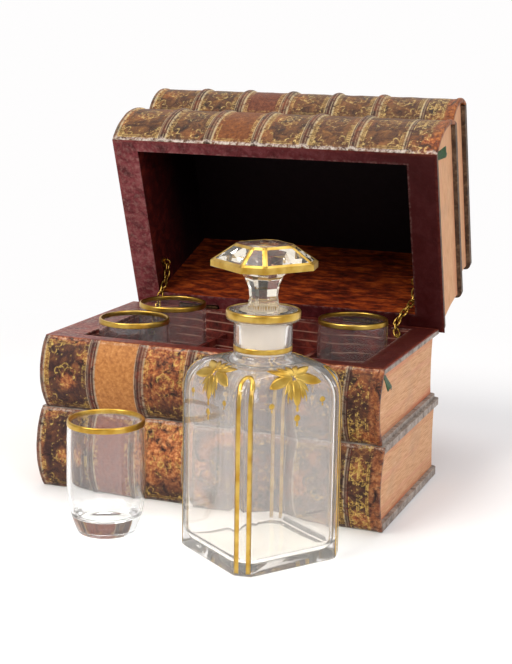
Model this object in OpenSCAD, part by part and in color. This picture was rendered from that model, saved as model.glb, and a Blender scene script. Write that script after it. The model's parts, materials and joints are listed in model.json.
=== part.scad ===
// Antique tantalus: a hinged case bound as a stack of four leather books,
// with a square decanter, its faceted stopper and four gilt-rimmed tumblers.
// Millimetres, +Z up, +Y to the back. The origin is the centre of the underside.
// The lid's pieces are drawn closed, then swung open about the hinge pins.

/* [Decanter] */
// Width of the square decanter across its flats
decanter_side = 72; // [60:0.5:90]
// Height of the decanter with its stopper in
decanter_h = 182; // [165:1:220]
// How far each upright edge of the decanter is cut back
decanter_chamfer = 7; // [4:0.5:12]
// Thickness of the decanter's walls
decanter_wall = 4; // [2.5:0.5:6]
// Outer radius of the decanter's neck
neck_r = 16.8; // [15.5:0.1:21]
// Top radius of the ground plug of the stopper
plug_r = 13.6; // [11:0.1:14.5]
// Width of the stopper's head across its wide flats
stopper_side = 51.5; // [40:0.5:66]

/* [Tumblers] */
// Diameter of a tumbler at its rim
glass_d = 46.5; // [38:0.5:56]
// Height of a tumbler
glass_h = 70; // [58:1:84]
// Thickness of a tumbler's wall
glass_wall = 1.7; // [1.2:0.1:2.5]
// Thickness of the solid glass at a tumbler's foot
glass_foot_t = 9; // [4:0.5:14]

/* [Books] */
// Height of the bottom book
book1_h = 54; // [44:1:66]
// Height of the second book, up to the opening line
book2_h = 48; // [40:1:58]
// Height of the top book
book4_h = 40; // [32:1:48]
// How far the bottom book stands out past the one above, at each end
book1_grow_x = 2.5; // [0:0.5:4]
// How far the bottom book stands out past the one above, front and back
book1_grow_y = 1.5; // [0:0.5:3]
// How far the top book is set in from the one below, at each end
book4_inset_x = 3; // [0:0.5:5]
// How far the top book is set in from the one below, front and back
book4_inset_y = 2; // [0:0.5:2.5]
// How far a rounded spine swells out in front of its boards
spine_bulge = 9; // [6:0.5:12]
// Thickness of the leather over a spine
spine_leather = 2.5; // [1.5:0.1:3.5]
// Number of raised bands on a spine
band_count = 5; // [3:1:6]
// Radius of the cord under a raised band
band_r = 2.3; // [1.5:0.1:3]
// Thickness of a cover board
board_t = 4.3; // [3:0.1:6]
// Thickness of the two thinner boards between the books
thin_board_t = 3; // [2:0.1:4]
// Thickness of the boards at the very bottom and top
outer_board_t = 5; // [4:0.1:7]
// Thickness of the two boards that carry the rims' leather
rim_board_t = 2.6; // [2.4:0.1:4.5]
// How far the boards stand out past the page edges
board_square = 3; // [1.5:0.1:4]
// How far the fore-edge curves in
fore_edge_hollow = 2; // [0.5:0.1:2.5]

/* [Case] */
// Thickness of the left wall, from board edge to inner face
side_wall = 21; // [16:0.5:28]
// How much thinner the right wall is than the left
right_thinner = 5; // [0:0.5:6]
// Thickness of the front wall behind a spine
front_wall = 9; // [8:0.5:14]
// Thickness of the back wall, from board edge to inner face
back_wall = 8; // [7.5:0.5:12]
// Thickness of the leather lining
lining_t = 1; // [0.6:0.1:1.5]
// Thickness of the leather frame glued round each rim
rim_leather_t = 0.8; // [0.5:0.1:1.2]
// Spare width of a tumbler's cell
cell_play_x = 6.5; // [3:0.5:9]
// Spare depth of a tumbler's cell
cell_play_y = 7.5; // [4:0.5:10]
// Spare width of the decanter's well
well_play = 2.4; // [1.5:0.1:5]
// Thickness of the tray's dividers
divider_t = 2.8; // [2:0.1:4]
// Height of the dividers above the floor
divider_h = 80; // [60:1:90]
// Thickness of the decks under the tumblers
deck_t = 4; // [3:0.5:6]
// Width and height of the battens under the decks
batten = 6; // [4:0.5:8]
// How far a tumbler stands up past the rim
glass_rise = 9; // [5:0.5:12]

/* [Lid and hinges] */
// Angle from closed to the stop that holds the lid open
open_angle = 71; // [60:1:80]
// How far the lid sits to the right of the base
lid_shift = 4; // [0:0.5:4]
// How far the lid's rim stands out behind the hinge pins
lid_over = 3; // [2:0.5:4]
// How far the lid's front edge is set back
lid_setback = 2; // [0:0.5:2]
// Thickness of the lid's right wall, from board edge to inner face
lid_wall_right = 19; // [18:0.5:24]
// Length of a hinge
hinge_l = 30; // [22:1:40]
// Distance of each hinge from the middle of the case
hinge_x = 62; // [40:1:75]
// Radius of a hinge knuckle
knuckle_r = 2.2; // [1.9:0.1:2.6]
// Radius of a hinge pin
pin_r = 0.8; // [0.6:0.05:1]
// Thickness of a hinge leaf
leaf_t = 1.2; // [0.8:0.1:1.3]

/* [Chains] */
// Thickness of the chain wire
wire_d = 1.2; // [0.8:0.1:1.4]
// Width of a chain link, middle of wire to middle of wire
link_w = 3.6; // [3:0.1:4.4]
// Length of the hole in a chain link
link_hole = 4.8; // [4.2:0.1:6]
// Height of the chain's eye above the opening line, with the lid closed
lid_eye_up = 14; // [14:0.5:20]
// Distance of the chain's eye in front of the hinge pins
lid_eye_in = 27; // [24:0.5:32]
// Depth of the base's chain eye below the opening line
base_eye_down = 17; // [14:0.5:22]

/* [Hidden] */
$fn = 48;
slack = 0.05;
glue_gap = 0.1;
cord_sink = 0.8;
edge_lap = 0.3;
over = 0.5;

decanter_x = 59.3;
decanter_turn = 54;
decanter_clear = 0.6;
table_glass_x = -38;
table_glass_clear = 29;

cell_w = glass_d + cell_play_x;
cell_d = glass_d + cell_play_y;
well_w = decanter_side + well_play;
in_x = well_w / 2 + divider_t + cell_w + lining_t;
in_x1 = in_x + right_thinner;
case_w = 2 * (in_x + side_wall);
in_depth = 2 * cell_d + divider_t + 2 * lining_t;
case_d = in_depth + front_wall + back_wall;
front_y = -case_d / 2;
back_y = case_d / 2;
in_front = front_y + front_wall;
in_back = back_y - back_wall;

rim_z = book1_h + book2_h;
rim_gap = 0.4;
floor_z = outer_board_t + lining_t;
headroom = 2;
top_z = floor_z + decanter_h + headroom + lining_t + outer_board_t;
book3_h = top_z - rim_z - book4_h;
joint_z = rim_z + book3_h;
deck_z = rim_z + glass_rise - glass_h;
divider_top = outer_board_t + lining_t + divider_h;
leather_low = rim_z - rim_gap / 2 - rim_leather_t;
leather_high = rim_z + rim_gap / 2 + rim_leather_t;

lid_x0 = -case_w / 2 + lid_shift;
lid_x1 = case_w / 2 + lid_shift;
lid_front = front_y + lid_setback;
lid_back = back_y + lid_over;
lid_in_x0 = -in_x;
lid_in_x1 = lid_x1 - lid_wall_right;

glass_stand_gap = 0.1;
belly_r = glass_d * 0.514;
glass_wall_gap = 0.9;
left_glass_x = -(in_x - lining_t - glass_wall_gap - belly_r);
right_glass_x = well_w / 2 + divider_t + glass_wall_gap + belly_r;
glass_left_front = [left_glass_x, in_front + lining_t + belly_r + 1.5];
glass_left_back = [left_glass_x, in_back - lining_t - belly_r - 0.3];
glass_right_back = [right_glass_x, in_back - lining_t - belly_r - 1.6];

// What stands on the table is clear of the bottom book's raised bands
spines_front = front_y - book1_grow_y - spine_bulge - (band_r - cord_sink);
decanter_reach = norm([decanter_side / 2, decanter_side / 2 - decanter_chamfer]);
decanter_pos = [decanter_x, spines_front - decanter_clear - decanter_reach];
front_glass_pos = [table_glass_x, spines_front - table_glass_clear - belly_r];

barrel_l = hinge_l / 3;
knuckle_gap = 0.2;
leaf_far = back_wall - 1.1;
leaf_low = rim_leather_t + rim_gap / 2;
screw_r = 0.8;
screw_head_r = 1.5;
screw_l = 7;
screw_along = hinge_l / 3;
screw_in = 5.1;
pocket_gap = 0.1;
seat_gap = 0.1;

eye_r = 2.2;
eye_wire_r = 0.6;
eye_out = 3;
eye_plate_r = 3.4;
eye_plate_t = 0.8;
base_eye_y = back_y - 16;
link_end = link_hole / 2 + wire_d / 2;

// A taller decanter grows in its body; its shoulder, neck and stopper stay as they are
shoulder_z = decanter_h - 90;
neck_z = decanter_h - 63;
ring_z = decanter_h - 44;
ring_top = decanter_h - 38;
ring_r = 21.3;
plug_foot = decanter_h - 63;
plug_taper = 0.04;
plug_gap = 0.06;
floor_t = 5;

spine_brown = [0.30, 0.15, 0.09];
board_brown = [0.36, 0.18, 0.11];
page_pink = [0.82, 0.62, 0.46];
burgundy = [0.36, 0.11, 0.11];
lining_red = [0.22, 0.06, 0.06];
wood_brown = [0.42, 0.26, 0.15];
brass = [0.74, 0.58, 0.26];
clear_glass = [0.86, 0.90, 0.88, 0.35];
ribbon_green = [0.22, 0.36, 0.20];

// Swings what is drawn closed to the lid's open rest about the hinge pins
module opened() {
  translate([0, back_y, rim_z])
    rotate([-open_angle, 0, 0])
      translate([0, -back_y, -rim_z]) children();
}

// Where a point of the closed lid goes when the lid is open
function opened_point(p) =
  let (y = p[1] - back_y, z = p[2] - rim_z)
  [
    p[0],
    back_y + y * cos(open_angle) + z * sin(open_angle),
    rim_z - y * sin(open_angle) + z * cos(open_angle)
  ];

module block(x0, x1, y0, y1, z0, z1) {
  translate([x0, y0, z0]) cube([x1 - x0, y1 - y0, z1 - z0]);
}

// A cylinder along X
module rod_x(x0, x1, y, z, r) {
  translate([x0, y, z]) rotate([0, 90, 0]) cylinder(h = x1 - x0, r = r, $fn = r > 20 ? 360 : 48);
}

// A rounded spine is a stretch of one cylinder lying along X
function spine_r(h) =
  let (half = h / 2 + edge_lap)
  (half * half + spine_bulge * spine_bulge) / (2 * spine_bulge);
function spine_y(h, front) = front - spine_bulge + spine_r(h);

// The leather of a spine with its raised bands and rolled ends
module spine(x0, x1, front, z0, h, band_at) {
  r = spine_r(h);
  yc = spine_y(h, front);
  zc = z0 + h / 2;
  roll_r = 1.5;
  roll_in = roll_r + 0.25;
  intersection() {
    difference() {
      union() {
        rod_x(x0, x1, yc, zc, r);
        for (share = band_at)
          translate([x0 + share * (x1 - x0), yc, zc])
            rotate([0, 90, 0])
              rotate_extrude($fn = 96) translate([r - cord_sink, 0]) circle(r = band_r);
        for (x = [x0 + roll_in, x1 - roll_in])
          translate([x, yc, zc])
            rotate([0, 90, 0])
              rotate_extrude($fn = 96) translate([r - roll_r / 2, 0]) circle(r = roll_r);
      }
      rod_x(x0 - over, x1 + over, yc, zc, r - spine_leather);
    }
    block(x0 - over, x1 + over, front - 2 * spine_bulge, front, z0, z0 + h);
  }
}

// What lies behind a spine's leather, cut to its curve
module spine_core(x0, x1, front, back, z0, h, low, high) {
  intersection() {
    rod_x(x0, x1, spine_y(h, front), z0 + h / 2, spine_r(h) - spine_leather - glue_gap);
    block(x0, x1, front - spine_bulge, back, z0 + low, z0 + h - high);
  }
}

// The end of a page block: rounded behind the spine, hollow at the fore-edge
module end_pages(x0, x1, front, back, z0, h, low, high) {
  edge = back - board_square;
  difference() {
    union() {
      block(x0, x1, front, edge, z0 + low, z0 + h - high);
      spine_core(x0, x1, front, front + over, z0, h, low, high);
    }
    fore_edge_cut(x0, x1, edge, z0 + low, z0 + h - high);
  }
}

// The hollow of a fore-edge, a shallow stretch of a large cylinder
module fore_edge_cut(x0, x1, edge, z0, z1) {
  h = z1 - z0;
  r = (h * h / 4 + fore_edge_hollow * fore_edge_hollow) / (2 * fore_edge_hollow);
  rod_x(x0 - over, x1 + over, edge - fore_edge_hollow + r, (z0 + z1) / 2, r);
}

module back_pages(x0, x1, inner, back, z0, z1) {
  edge = back - board_square;
  difference() {
    block(x0, x1, inner, edge, z0, z1);
    fore_edge_cut(x0, x1, edge, z0, z1);
  }
}

// A cover board with worn, rounded back corners
module board_plate(x0, x1, y0, y1, z0, z1) {
  corner = 4;
  block(x0, x1, y0, y1 - corner, z0, z1);
  block(x0 + corner, x1 - corner, y1 - 2 * corner, y1, z0, z1);
  for (x = [x0 + corner, x1 - corner])
    translate([x, y1 - corner, z0]) cylinder(h = z1 - z0, r = corner);
}

// The same board with the inside of the case cut out of it
module board_frame(x0, x1, y0, y1, z0, z1, ix0, ix1) {
  difference() {
    board_plate(x0, x1, y0, y1, z0, z1);
    block(ix0, ix1, in_front, in_back, z0 - over, z1 + over);
  }
}

// The last panel of a spine is longer than the others
first_band = 0.16;
last_band = 0.755;
function band_shares() = [
  for (i = [0:band_count - 1]) first_band + (last_band - first_band) * i / (band_count - 1)
];

// Bottom book
b1_x = case_w / 2 + book1_grow_x;
b1_front = front_y - book1_grow_y;
b1_back = back_y + book1_grow_y;

module bottom_board() {
  color(board_brown) board_plate(-b1_x, b1_x, b1_front, b1_back, 0, outer_board_t);
}

module book1_spine() {
  color(spine_brown) spine(-b1_x, b1_x, b1_front, 0, book1_h, band_shares());
}

module book1_front_wall() {
  color(wood_brown)
    difference() {
      union() {
        spine_core(-in_x, in_x1, b1_front, in_front, 0, book1_h, outer_board_t, board_t);
        block(-in_x, in_x1, b1_front, in_front, outer_board_t, book1_h - board_t);
      }
      block(-in_x - over, in_x1 + over, in_front, back_y, 0, book1_h);
    }
}

module book1_left_pages() {
  color(page_pink)
    end_pages(-b1_x + board_square, -in_x, b1_front, b1_back, 0, book1_h, outer_board_t, board_t);
}

module book1_right_pages() {
  color(page_pink)
    end_pages(in_x1, b1_x - board_square, b1_front, b1_back, 0, book1_h, outer_board_t, board_t);
}

module book1_back_pages() {
  color(page_pink) back_pages(-in_x, in_x1, in_back, b1_back, outer_board_t, book1_h - board_t);
}

module book1_top_board() {
  color(board_brown)
    board_frame(-b1_x, b1_x, b1_front, b1_back, book1_h - board_t, book1_h, -in_x, in_x1);
}

// Second book, up to the opening line
b2_x = case_w / 2;
b2_high = rim_board_t + rim_leather_t + rim_gap / 2;

module book2_bottom_board() {
  color(board_brown)
    board_frame(-b2_x, b2_x, front_y, back_y, book1_h, book1_h + thin_board_t, -in_x, in_x1);
}

module book2_spine() {
  color(spine_brown)
    spine(-b2_x, b2_x, front_y, book1_h, book2_h - rim_gap / 2, band_shares());
}

module book2_front_wall() {
  color(wood_brown)
    union() {
      spine_core(-in_x, in_x1, front_y, in_front, book1_h, book2_h - rim_gap / 2,
                 thin_board_t, b2_high - rim_gap / 2);
      block(-in_x, in_x1, front_y, in_front, book1_h + thin_board_t, rim_z - b2_high);
    }
}

module book2_left_pages() {
  color(page_pink)
    end_pages(-b2_x + board_square, -in_x, front_y, back_y, book1_h, book2_h - rim_gap / 2,
              thin_board_t, b2_high - rim_gap / 2);
}

module book2_right_pages() {
  color(page_pink)
    end_pages(in_x1, b2_x - board_square, front_y, back_y, book1_h, book2_h - rim_gap / 2,
              thin_board_t, b2_high - rim_gap / 2);
}

module book2_back_pages() {
  color(page_pink)
    difference() {
      back_pages(-in_x, in_x1, in_back, back_y, book1_h + thin_board_t, rim_z - b2_high);
      base_screws(pocket_gap / 2);
    }
}

// The rim board's back edge leans out, and the open lid comes to rest on it
module base_rim_board() {
  z0 = rim_z - b2_high;
  lean = function (z) (rim_gap / 2 - seat_gap - (z - rim_z) * cos(open_angle)) / sin(open_angle);
  color(board_brown)
    difference() {
      translate([-b2_x, 0, 0])
        rotate([90, 0, 90])
          linear_extrude(2 * b2_x)
            polygon([
              [front_y, z0],
              [back_y + lean(z0), z0],
              [back_y + lean(leather_low), leather_low],
              [front_y, leather_low]
            ]);
      block(-in_x, in_x1, in_front, in_back, z0 - over, rim_z);
      for (x = [-hinge_x, hinge_x]) {
        hinge_room(x);
        translate([x, 0, 0]) base_leaf_plate(pocket_gap);
      }
      base_screws(pocket_gap / 2);
    }
}

module base_rim_leather() {
  color(burgundy)
    difference() {
      block(-b2_x, b2_x, front_y, back_y - seat_gap, leather_low, rim_z - rim_gap / 2);
      block(-in_x + lining_t, in_x1 - lining_t, in_front + lining_t, in_back - lining_t,
            leather_low - over, rim_z);
      for (x = [-hinge_x, hinge_x]) hinge_room(x);
    }
}

// Leather on the inside walls and on the floor
module base_lining() {
  color(lining_red)
    difference() {
      block(-in_x, in_x1, in_front, in_back, outer_board_t, leather_low);
      block(-in_x + lining_t, in_x1 - lining_t, in_front + lining_t, in_back - lining_t,
            floor_z, rim_z);
    }
}

// The tray: decks for the tumblers on battens, and dividers between them
module both_sides() {
  for (side = [-1, 1]) {
    $end = side > 0 ? in_x1 - lining_t : in_x - lining_t;
    mirror([side < 0 ? 1 : 0, 0, 0]) children();
  }
}

module glass_decks() {
  color(wood_brown)
    both_sides()
      block(well_w / 2 + divider_t, $end, in_front + lining_t, in_back - lining_t,
            deck_z - deck_t, deck_z);
}

module deck_battens() {
  z1 = deck_z - deck_t;
  color(wood_brown)
    both_sides()
      for (x = [well_w / 2 + divider_t, $end - batten])
        block(x, x + batten, in_front + lining_t, in_back - lining_t, z1 - batten, z1);
}

module well_side_dividers() {
  color(lining_red)
    both_sides()
      block(well_w / 2, well_w / 2 + divider_t, in_front + lining_t, in_back - lining_t,
            floor_z, divider_top);
}

module well_cross_dividers() {
  middle = (in_front + in_back) / 2;
  color(lining_red)
    for (y = [middle - well_w / 2 - divider_t, middle + well_w / 2])
      block(-well_w / 2, well_w / 2, y, y + divider_t, floor_z, divider_top);
}

module cell_dividers() {
  color(lining_red)
    both_sides()
      block(well_w / 2 + divider_t, $end, in_front + lining_t + cell_d,
            in_back - lining_t - cell_d, deck_z, divider_top);
}

// Two butt hinges, with their leaves let in under the rim leather
module hinge_room(x) {
  r = knuckle_r + 0.3;
  half = hinge_l / 2 + 0.3;
  rod_x(x - half, x + half, back_y, rim_z, r);
}

module base_leaf_plate(gap) {
  half = hinge_l / 2 + gap;
  block(-half, half, back_y - leaf_far - gap, back_y, rim_z - leaf_low - leaf_t, rim_z - leaf_low);
}

module lid_leaf_plate(gap) {
  half = hinge_l / 2 + gap;
  block(-half, half, back_y - leaf_far - gap, back_y, rim_z + leaf_low, rim_z + leaf_low + leaf_t);
}

module knuckle(x0, x1) {
  difference() {
    rod_x(x0, x1, back_y, rim_z, knuckle_r);
    rod_x(x0 - over, x1 + over, back_y, rim_z, pin_r + slack);
  }
}

// Clears the other leaf's knuckles out of a leaf's plate
module knuckle_notch(x0, x1) {
  rod_x(x0, x1, back_y, rim_z, knuckle_r + knuckle_gap);
}

module base_leaf() {
  inner = barrel_l / 2 + knuckle_gap / 2;
  difference() {
    base_leaf_plate(0);
    knuckle_notch(-inner, inner);
    rod_x(-hinge_l, hinge_l, back_y, rim_z, pin_r + slack);
    leaf_screw_holes(-1);
  }
  knuckle(-hinge_l / 2, -inner);
  knuckle(inner, hinge_l / 2);
}

module lid_leaf() {
  inner = barrel_l / 2 - knuckle_gap / 2;
  difference() {
    lid_leaf_plate(0);
    knuckle_notch(-hinge_l, -inner);
    knuckle_notch(inner, hinge_l);
    rod_x(-hinge_l, hinge_l, back_y, rim_z, pin_r + slack);
    leaf_screw_holes(1);
  }
  knuckle(-inner, inner);
}

// A countersunk screw pointing away from the opening line; side is -1 or 1
module screw(side, gap) {
  translate([0, 0, side * leaf_low])
    mirror([0, 0, side < 0 ? 1 : 0]) {
      cylinder(h = leaf_t, r1 = screw_head_r + gap, r2 = screw_r + gap);
      cylinder(h = screw_l + gap, r = screw_r + gap);
    }
}

module leaf_screw_holes(side) {
  for (x = [-screw_along, screw_along])
    translate([x, back_y - screw_in, rim_z]) screw(side, pocket_gap / 2);
}

module screws(side, gap) {
  for (hx = [-hinge_x, hinge_x])
    for (x = [-screw_along, screw_along])
      translate([hx + x, back_y - screw_in, rim_z]) screw(side, gap);
}

module base_screws(gap) {
  screws(-1, gap);
}

module hinge_pin() {
  rod_x(-hinge_l / 2, hinge_l / 2, back_y, rim_z, pin_r);
}

module hinge_left_base_leaf() {
  color(brass) translate([-hinge_x, 0, 0]) base_leaf();
}

module hinge_right_base_leaf() {
  color(brass) translate([hinge_x, 0, 0]) base_leaf();
}

module hinge_left_pin() {
  color(brass) translate([-hinge_x, 0, 0]) hinge_pin();
}

module hinge_right_pin() {
  color(brass) translate([hinge_x, 0, 0]) hinge_pin();
}

module base_hinge_screws() {
  color(brass) base_screws(0);
}

module hinge_left_lid_leaf() {
  color(brass) opened() translate([-hinge_x, 0, 0]) lid_leaf();
}

module hinge_right_lid_leaf() {
  color(brass) opened() translate([hinge_x, 0, 0]) lid_leaf();
}

module lid_hinge_screws() {
  color(brass) opened() screws(1, 0);
}

// A chain eye: a round plate on the wall and a ring standing out of it
module eye(inward) {
  rotate([0, inward * 90, 0]) cylinder(h = eye_plate_t, r = eye_plate_r);
  translate([inward * eye_out, 0, 0])
    rotate([90, 0, 0])
      rotate_extrude() translate([eye_r, 0]) circle(r = eye_wire_r);
}

base_eye_z = rim_z - base_eye_down;
lid_eye_y = back_y - lid_eye_in;
lid_eye_z = rim_z + lid_eye_up;

module base_chain_eyes() {
  color(brass)
    for (side = [-1, 1])
      translate([side < 0 ? -in_x + lining_t : in_x1 - lining_t, base_eye_y, base_eye_z]) eye(-side);
}

module lid_chain_eyes() {
  color(brass)
    opened() {
      translate([lid_in_x0 + lining_t, lid_eye_y, lid_eye_z]) rotate([90, 0, 0]) eye(1);
      translate([lid_in_x1 - lining_t, lid_eye_y, lid_eye_z]) rotate([90, 0, 0]) eye(-1);
    }
}

// A smooth curve through a few points, walked in equal steps for the links
function smooth(p0, p1, p2, p3, t) =
  0.5 * (2 * p1 + (p2 - p0) * t + (2 * p0 - 5 * p1 + 4 * p2 - p3) * t * t
         + (3 * p1 - p0 - 3 * p2 + p3) * t * t * t);

function curve(pts, n) = [
  for (i = [0:len(pts) - 2])
    for (s = [0:n - 1])
      smooth(pts[max(i - 1, 0)], pts[i], pts[i + 1], pts[min(i + 2, len(pts) - 1)], s / n),
  pts[len(pts) - 1]
];

function run_lengths(c) = [
  for (i = 0, sum = 0; i < len(c); sum = sum + (i + 1 < len(c) ? norm(c[i + 1] - c[i]) : 0),
       i = i + 1) sum
];

function place_at(c, lengths, s) =
  let (i = max([for (k = [0:len(c) - 2]) if (lengths[k] <= s) k]))
  let (t = (s - lengths[i]) / max(lengths[i + 1] - lengths[i], 0.001))
  c[i] + (c[i + 1] - c[i]) * t;

function unit(v) = v / norm(v);

// An oval link in the XZ plane, long way along Z
module link() {
  bend = link_w / 2;
  straight = link_end - bend;
  for (side = [-1, 1]) {
    translate([side * bend, 0, -straight]) cylinder(h = 2 * straight, d = wire_d, $fn = 24);
    translate([0, 0, side * straight])
      rotate([90, side < 0 ? 180 : 0, 0])
        rotate_extrude(angle = 180, $fn = 24) translate([bend, 0]) circle(d = wire_d, $fn = 24);
  }
}

// The first and last links hang on the eyes' wires
module chain(pts) {
  c = curve(pts, 12);
  lengths = run_lengths(c);
  total = lengths[len(lengths) - 1];
  hook = link_end - wire_d / 2 - eye_wire_r - 0.15;
  run = total - 2 * hook;
  count = 2 * ceil(run / (link_hole - 0.15) / 2);
  step = run / count;
  for (k = [0:count]) {
    s = hook + k * step;
    at = place_at(c, lengths, s);
    along = unit(place_at(c, lengths, s + 0.8) - place_at(c, lengths, s - 0.8));
    across = unit([1, 0, 0] - along * along[0]);
    third = cross(along, across);
    multmatrix([
      [across[0], third[0], along[0], at[0]],
      [across[1], third[1], along[1], at[1]],
      [across[2], third[2], along[2], at[2]],
      [0, 0, 0, 1]
    ])
      rotate([0, 0, k % 2 == 0 ? 90 : 0]) link();
  }
}

// A slack chain: it drops inside the lid, clears both rims' inner edges and falls
// into the case. It sways towards the middle on its way.
function chain_route(side, eye_x, sway) =
  let (foot_x = side * ((side < 0 ? in_x : in_x1) - lining_t - eye_out))
  let (lid_edge = opened_point([0, in_back - lining_t, rim_z]))
  let (base_edge = [0, in_back - lining_t, rim_z])
  let (eye_foot = opened_point([0, lid_eye_y + eye_r, lid_eye_z]))
  [
    [eye_x, eye_foot[1], eye_foot[2]],
    [eye_x, lid_edge[1] + 5.8, lid_edge[2] + 10.5],
    [eye_x - side * sway * 0.3, lid_edge[1] + 1.1, lid_edge[2] + 5],
    [foot_x - side * sway * 0.8, (lid_edge[1] + base_edge[1]) / 2 - 1.1,
     (lid_edge[2] + base_edge[2]) / 2 + 2.4],
    [foot_x - side * sway, base_edge[1] - 2.6, base_edge[2] + 0.5],
    [foot_x - side * sway * 0.4, base_eye_y + 0.8, base_eye_z + eye_r + 7.3],
    [foot_x, base_eye_y, base_eye_z + eye_r]
  ];

module chain_left() {
  color(brass) chain(chain_route(-1, lid_in_x0 + lining_t + eye_out, -0.5));
}

module chain_right() {
  color(brass) chain(chain_route(1, lid_in_x1 - lining_t - eye_out, 7));
}

// Frayed silk page markers at the right end, as they lie
module base_ribbon() {
  color(ribbon_green)
    block(b2_x - board_square, b2_x - board_square + 0.5, front_y + 0.4, front_y + 6.4,
          rim_z - b2_high - 10, rim_z - b2_high);
}

module lid_ribbon() {
  color(ribbon_green)
    opened()
      block(lid_x1 - board_square, lid_x1 - board_square + 0.5, lid_front + 0.4, lid_front + 6.4,
            rim_z + b2_high, rim_z + b2_high + 9);
}

// Third book, whose lower board is the lid's rim
module lid_rim_leather() {
  color(burgundy)
    opened()
      difference() {
        block(lid_x0, lid_x1, lid_front, lid_back, rim_z + rim_gap / 2, leather_high);
        block(lid_in_x0 + lining_t, lid_in_x1 - lining_t, in_front + lining_t,
              in_back - lining_t, rim_z, leather_high + over);
        for (x = [-hinge_x, hinge_x]) hinge_room(x);
      }
}

module lid_rim_board() {
  color(board_brown)
    opened()
      difference() {
        board_frame(lid_x0, lid_x1, lid_front, lid_back, leather_high, leather_high + rim_board_t,
                    lid_in_x0, lid_in_x1);
        for (x = [-hinge_x, hinge_x]) {
          hinge_room(x);
          translate([x, 0, 0]) lid_leaf_plate(pocket_gap);
        }
        screws(1, pocket_gap / 2);
      }
}

b3_z = rim_z + rim_gap / 2;
b3_h = book3_h - rim_gap / 2;
b3_low = rim_leather_t + rim_board_t;

module book3_spine() {
  color(spine_brown) opened() spine(lid_x0, lid_x1, lid_front, b3_z, b3_h, band_shares());
}

module book3_front_wall() {
  color(wood_brown)
    opened() {
      spine_core(lid_in_x0, lid_in_x1, lid_front, in_front, b3_z, b3_h, b3_low, board_t);
      block(lid_in_x0, lid_in_x1, lid_front, in_front, b3_z + b3_low, joint_z - board_t);
    }
}

module book3_left_pages() {
  color(page_pink)
    opened()
      end_pages(lid_x0 + board_square, lid_in_x0, lid_front, lid_back, b3_z, b3_h, b3_low, board_t);
}

module book3_right_pages() {
  color(page_pink)
    opened()
      end_pages(lid_in_x1, lid_x1 - board_square, lid_front, lid_back, b3_z, b3_h, b3_low, board_t);
}

module book3_back_pages() {
  color(page_pink)
    opened()
      difference() {
        back_pages(lid_in_x0, lid_in_x1, in_back, lid_back, b3_z + b3_low, joint_z - board_t);
        screws(1, pocket_gap / 2);
      }
}

module book3_top_board() {
  color(board_brown)
    opened()
      board_frame(lid_x0, lid_x1, lid_front, lid_back, joint_z - board_t, joint_z,
                  lid_in_x0, lid_in_x1);
}

// Top book
b4_x0 = lid_x0 + book4_inset_x;
b4_x1 = lid_x1 - book4_inset_x;
b4_front = lid_front + book4_inset_y;
b4_back = lid_back - book4_inset_y;

module book4_bottom_board() {
  color(board_brown)
    opened()
      board_frame(b4_x0, b4_x1, b4_front, b4_back, joint_z, joint_z + thin_board_t,
                  lid_in_x0, lid_in_x1);
}

module book4_spine() {
  color(spine_brown) opened() spine(b4_x0, b4_x1, b4_front, joint_z, book4_h, band_shares());
}

module book4_front_wall() {
  color(wood_brown)
    opened() {
      spine_core(lid_in_x0, lid_in_x1, b4_front, in_front, joint_z, book4_h,
                 thin_board_t, outer_board_t);
      block(lid_in_x0, lid_in_x1, b4_front, in_front, joint_z + thin_board_t,
            top_z - outer_board_t);
    }
}

module book4_left_pages() {
  color(page_pink)
    opened()
      end_pages(b4_x0 + board_square, lid_in_x0, b4_front, b4_back, joint_z, book4_h,
                thin_board_t, outer_board_t);
}

module book4_right_pages() {
  color(page_pink)
    opened()
      end_pages(lid_in_x1, b4_x1 - board_square, b4_front, b4_back, joint_z, book4_h,
                thin_board_t, outer_board_t);
}

module book4_back_pages() {
  color(page_pink)
    opened()
      back_pages(lid_in_x0, lid_in_x1, in_back, b4_back, joint_z + thin_board_t,
                 top_z - outer_board_t);
}

module top_board() {
  color(board_brown)
    opened() board_plate(b4_x0, b4_x1, b4_front, b4_back, top_z - outer_board_t, top_z);
}

module lid_lining() {
  color(lining_red)
    opened()
      difference() {
        block(lid_in_x0, lid_in_x1, in_front, in_back, leather_high, top_z - outer_board_t);
        block(lid_in_x0 + lining_t, lid_in_x1 - lining_t, in_front + lining_t,
              in_back - lining_t, rim_z, top_z - outer_board_t - lining_t);
      }
}

// A square with its four corners cut back
function cut_square(side, cut) =
  let (a = side / 2, b = side / 2 - cut)
  [[a, -b], [a, b], [b, a], [-b, a], [-a, b], [-a, -b], [-b, -a], [b, -a]];

// The shoulder draws in from the square body to the neck on a full, rounded curve
module shoulder(side, cut, z0, z1, top_r) {
  steps = 8;
  fullness = 0.77;
  hull() {
    for (i = [0:steps - 1]) {
      a = 90 * i / steps;
      shrink = top_r * 1.25 + (side / 2 - top_r * 1.25) * pow(cos(a), fullness);
      translate([0, 0, z0 + (z1 - z0) * pow(sin(a), fullness) * 0.86])
        linear_extrude(0.01) polygon(cut_square(2 * shrink, cut * shrink * 2 / side));
    }
    translate([0, 0, z1 - 0.01]) cylinder(h = 0.01, r = top_r, $fn = 32);
  }
}

module at_decanter() {
  translate([decanter_pos[0], decanter_pos[1], 0]) rotate([0, 0, decanter_turn]) children();
}

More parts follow.
